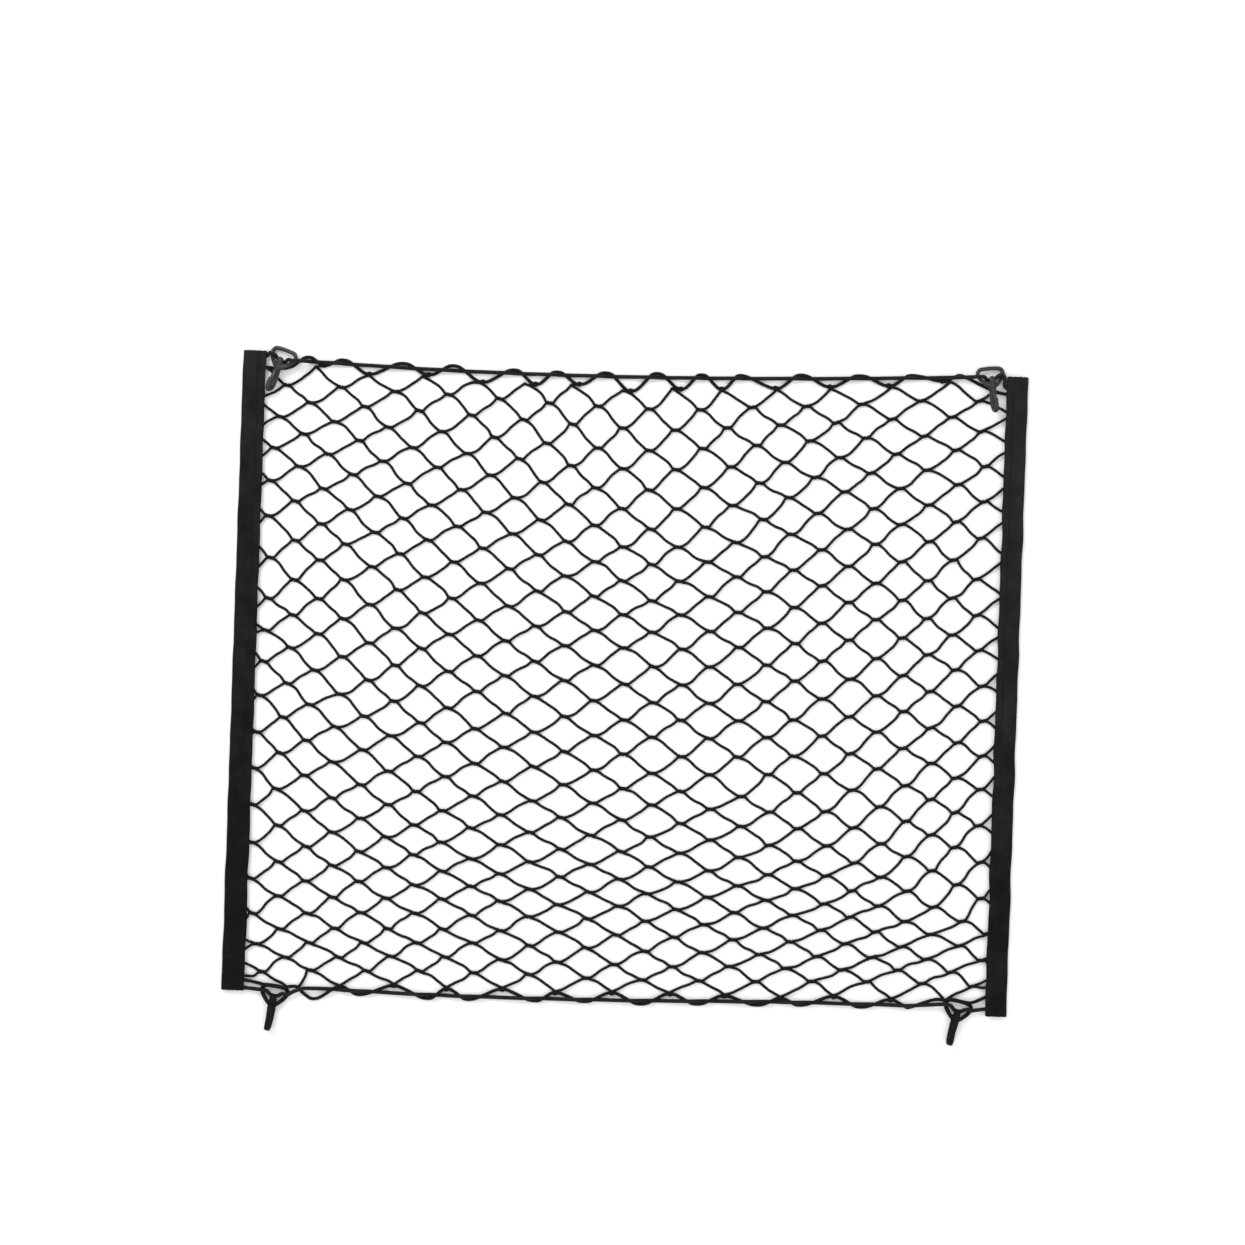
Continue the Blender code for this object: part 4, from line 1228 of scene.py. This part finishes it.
def braided_cover():
    """A diamond braid over an elastic core, from coordinates around and along the tube."""
    graph, given, out = group_tree(
        "braided_cover",
        (("Around and along", "Vector"), ("Yarns around", "Float"), ("Steepness", "Float")),
        (("Height", "Float"), ("Groove shade", "Float")),
    )
    place = graph.axes(given["Around and along"])
    around = graph.math("MULTIPLY", place[0], given["Yarns around"])
    steep_yarns = graph.math("MULTIPLY", given["Yarns around"], given["Steepness"])
    along = graph.math("MULTIPLY", place[1], steep_yarns)
    rising, falling = graph.math("ADD", around, along), graph.math("SUBTRACT", around, along)
    over_and_under(graph, out, rising, falling, BRAID_GROOVE)
    return graph.tree


def webbing_weave():
    """Ribbed webbing: warp yarns down the tape, weft passing over and under them."""
    graph, given, out = group_tree(
        "webbing_weave",
        (("Across and down", "Vector"), ("Warp pitch", "Float", WARP_PITCH),
         ("Weft pitch", "Float", WEFT_PITCH)),
        (("Height", "Float"), ("Groove shade", "Float")),
    )
    place = graph.axes(given["Across and down"])
    warp = graph.math("DIVIDE", place[0], given["Warp pitch"])
    weft = graph.math("DIVIDE", place[1], given["Weft pitch"])
    over_and_under(graph, out, warp, weft, WEBBING_GROOVE)
    return graph.tree


def faded_dye():
    """Uneven black dye: broad fading, small mottling and pale lint."""
    graph, given, out = group_tree(
        "faded_dye",
        (("Deep", "Color"), ("Faded", "Color"), ("Lint", "Color", COVER_LINT),
         ("Lint share", "Float", COVER_LINT_SHARE)),
        (("Color", "Color"), ("Fade", "Float")),
    )
    where = object_place(graph)
    small_share, broad_share = FADE_SHARES
    broad = graph.math("MULTIPLY", graph.noise(where, *BROAD_FADE), broad_share)
    fade = graph.math("MULTIPLY_ADD", graph.noise(where, *SMALL_FADE), small_share, broad)
    share = graph.spread(fade, *FADE_RANGE)
    base = graph.mix(share, given["Deep"], given["Faded"])
    fibres = graph.spread(graph.noise(where, *FIBRES), *FIBRE_RANGE)
    specks = graph.math("MULTIPLY", fibres, given["Lint share"])
    graph.put(out["Color"], graph.mix(specks, base, given["Lint"]))
    graph.put(out["Fade"], share)
    return graph.tree


def start_material(name):
    made = bpy.data.materials.new(name)
    made.use_nodes = True
    graph = Graph(made.node_tree)
    return made, graph, made.node_tree.nodes["Principled BSDF"]


def place_group(graph, tree, **values):
    """The outputs of a node group placed in a material with its own values."""
    made = graph.node("ShaderNodeGroup", node_tree=tree)
    for label, value in values.items():
        graph.put(made.inputs[label.replace("_", " ")], value)
    return made.outputs


def tube_spots(graph):
    return graph.node("ShaderNodeUVMap", uv_map="around_and_along").outputs[0]


def object_place(graph):
    return graph.node("ShaderNodeTexCoord").outputs["Object"]


def set_surface(graph, shader, colour, rough, shine):
    graph.put(shader.inputs["Base Color"], colour)
    graph.put(shader.inputs["Roughness"], rough)
    shader.inputs["Specular IOR Level"].default_value = shine


def set_relief(graph, shader, height, depth, strength=1.0):
    bump = graph.node("ShaderNodeBump")
    bump.inputs["Strength"].default_value = strength
    bump.inputs["Distance"].default_value = depth
    graph.put(bump.inputs["Height"], height)
    graph.put(shader.inputs["Normal"], bump.outputs[0])


def braided_material(cover, groups):
    made, graph, shader = start_material(cover.name)
    braid = place_group(graph, groups["braid"], Around_and_along=tube_spots(graph),
                        Yarns_around=cover.yarns, Steepness=cover.steepness)
    dye = place_group(graph, groups["dye"], Deep=cover.deep, Faded=cover.faded)
    # painted shade: the braid's grooves are darkened in the colour
    shade = graph.math("MULTIPLY", braid["Groove shade"], COVER_SHADE)
    colour = graph.mix(shade, dye["Color"], COVER_GROOVE_SHADE)
    rough = graph.spread(dye["Fade"], *FULL, cover.rough - ROUGH_SWING, cover.rough + ROUGH_SWING)
    set_surface(graph, shader, colour, rough, COVER_SHINE)
    set_relief(graph, shader, braid["Height"], cover.depth, COVER_RELIEF)
    return made


def tape_paling(graph):
    """How far the webbing is paler: in patches, and more towards the top and on the right tape."""
    where = object_place(graph)
    place = graph.axes(where)
    patches = graph.spread(graph.noise(where, *TAPE_PATCHES), *PATCH_WEAR)
    upwards = graph.spread(place[1], *UPWARD_PALING)
    rightwards = graph.spread(place[0], *RIGHTWARD_PALING)
    worn = graph.math("ADD", patches, graph.math("ADD", upwards, rightwards))
    return graph.math("MAXIMUM", worn, 0.0)


def tape_material(groups):
    made, graph, shader = start_material("webbing_tape")
    yarns = graph.node("ShaderNodeUVMap", uv_map="yarns").outputs[0]
    weave_of = place_group(graph, groups["webbing"], Across_and_down=yarns)
    dye = place_group(graph, groups["dye"], Deep=TAPE_DEEP, Faded=TAPE_FADED, Lint=TAPE_LINT,
                      Lint_share=TAPE_LINT_SHARE)
    # painted shade: the weave's grooves are darkened towards the deep dye colour
    shade = graph.math("MULTIPLY", weave_of["Groove shade"], TAPE_SHADE)
    colour = graph.mix(tape_paling(graph), graph.mix(shade, dye["Color"], TAPE_DEEP), TAPE_PALE_TONE)
    set_surface(graph, shader, colour, graph.spread(dye["Fade"], *TAPE_ROUGH), TAPE_SHINE)
    set_relief(graph, shader, weave_of["Height"], TAPE_DEPTH, TAPE_RELIEF)
    return made


def hook_material(moulding):
    made, graph, shader = start_material(moulding.name)
    where = object_place(graph)
    flow, grain = graph.noise(where, *MOULD_FLOW), graph.noise(where, *MOULD_GRAIN)
    colour = graph.mix(graph.spread(flow, *FLOW_RANGE), moulding.deep, moulding.worn)
    set_surface(graph, shader, colour, graph.spread(grain, *MOULD_ROUGH), moulding.shine)
    height = graph.math("MULTIPLY_ADD", grain, GRAIN_SHARE, flow)
    set_relief(graph, shader, height, MOULD_DEPTH, MOULD_RELIEF)
    return made


def thread_material():
    made, graph, shader = start_material("sewing_thread")
    place = graph.axes(tube_spots(graph))
    plies = graph.ridges(graph.math("MULTIPLY_ADD", place[1], THREAD_TWIST, place[0]), FULL_TURN)
    # painted shade: dark in the hollows between the plies, pale on their ridges
    colour = graph.mix(plies, THREAD_DARK, THREAD_PALE)
    set_surface(graph, shader, colour, graph.spread(plies, *THREAD_ROUGH), THREAD_SHINE)
    set_relief(graph, shader, plies, THREAD_DEPTH)
    return made


def floor_material():
    made, graph, shader = start_material("pale_floor")
    tone = graph.noise(object_place(graph), *FLOOR_TONE)
    set_surface(graph, shader, graph.mix(tone, FLOOR_PALE, FLOOR_WHITE), FLOOR_ROUGH, 0.0)
    return made


# ---------------------------------------------------------------- the studio

def make_camera():
    data = bpy.data.cameras.new("camera")
    data.type = "PERSP"
    data.lens = LENS
    data.sensor_fit = "HORIZONTAL"
    data.sensor_width = PICTURE_WIDTH * MM / CAMERA_HEIGHT * LENS
    data.clip_end = CAMERA_SIGHT
    camera = in_scene("camera", data)
    middle = world(*PICTURE_MIDDLE, 0)
    camera.location = (middle.x, middle.y, CAMERA_HEIGHT)
    camera.rotation_euler = (0, 0, math.radians(PICTURE_TURN))
    bpy.context.scene.camera = camera


def make_light(lamp):
    data = bpy.data.lights.new(lamp.name, "AREA")
    data.shape = "DISK"
    data.size = lamp.size
    data.energy = lamp.power
    light = in_scene(lamp.name, data)
    light.location = lamp.place
    light.rotation_euler = (-Vector(lamp.place)).to_track_quat("-Z", "Y").to_euler()


def make_studio():
    """A pale floor under a sky that is brighter towards its top, and two soft lights."""
    room = bpy.data.worlds.new("studio")
    room.use_nodes = True
    sky = room.node_tree.nodes["Background"]
    sky.inputs["Color"].default_value = (1, 1, 1, 1)
    graph = Graph(room.node_tree)
    upwards = graph.axes(graph.node("ShaderNodeTexCoord").outputs["Generated"])[2]
    graph.put(sky.inputs["Strength"], graph.spread(upwards, *FULL, HORIZON_LIGHT, ZENITH_LIGHT))
    bpy.context.scene.world = room
    bpy.context.scene.view_settings.view_transform = "Standard"
    for lamp in LAMPS:
        make_light(lamp)
    bpy.ops.mesh.primitive_grid_add(
        x_subdivisions=2, y_subdivisions=2, size=FLOOR_SIZE, location=(0, 0, -FLOOR_DEPTH))
    floor = bpy.context.object
    floor.name = "floor"
    floor.data.materials.append(floor_material())


def main():
    make_camera()
    groups = {"braid": braided_cover(), "webbing": webbing_weave(), "dye": faded_dye()}
    covers = {use: braided_material(cover, groups) for use, cover in COVERS.items()}
    thread = thread_material()
    tape_finish = tape_material(groups)
    made = []

    strands, knots = make_net(covers["twine"])
    edges = [make_selvedge(edge, covers["selvedge"]) for edge in ("top", "bottom")]
    for piece in (strands, knots, *edges):
        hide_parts("net")
        made.append(piece)
    for side in ("left", "right"):
        tape, grid, total = make_tape(side, tape_finish)
        stitches = make_stitches(side, grid, thread)
        for piece in (tape, stitches):
            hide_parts("band_" + side)
            made.append(piece)
    for edge in ("top", "bottom"):
        piece = make_cord(edge, covers["cord"])
        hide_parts("draw_cord_" + edge)
        made.append(piece)
    # the top hooks get the lighter painted-light copy of the plastic, the bottom hooks the darker
    # painted-shade copy
    lit_and_shaded_hook_finishes = {edge: hook_material(moulding) for edge, moulding in LIT_AND_SHADED_MOULDINGS.items()}
    for piece, pose in zip(make_hooks(lit_and_shaded_hook_finishes), HOOKS):
        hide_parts(pose.name)
        made.append(piece)
    for piece in made:
        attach(piece, "root")
    make_studio()


main()
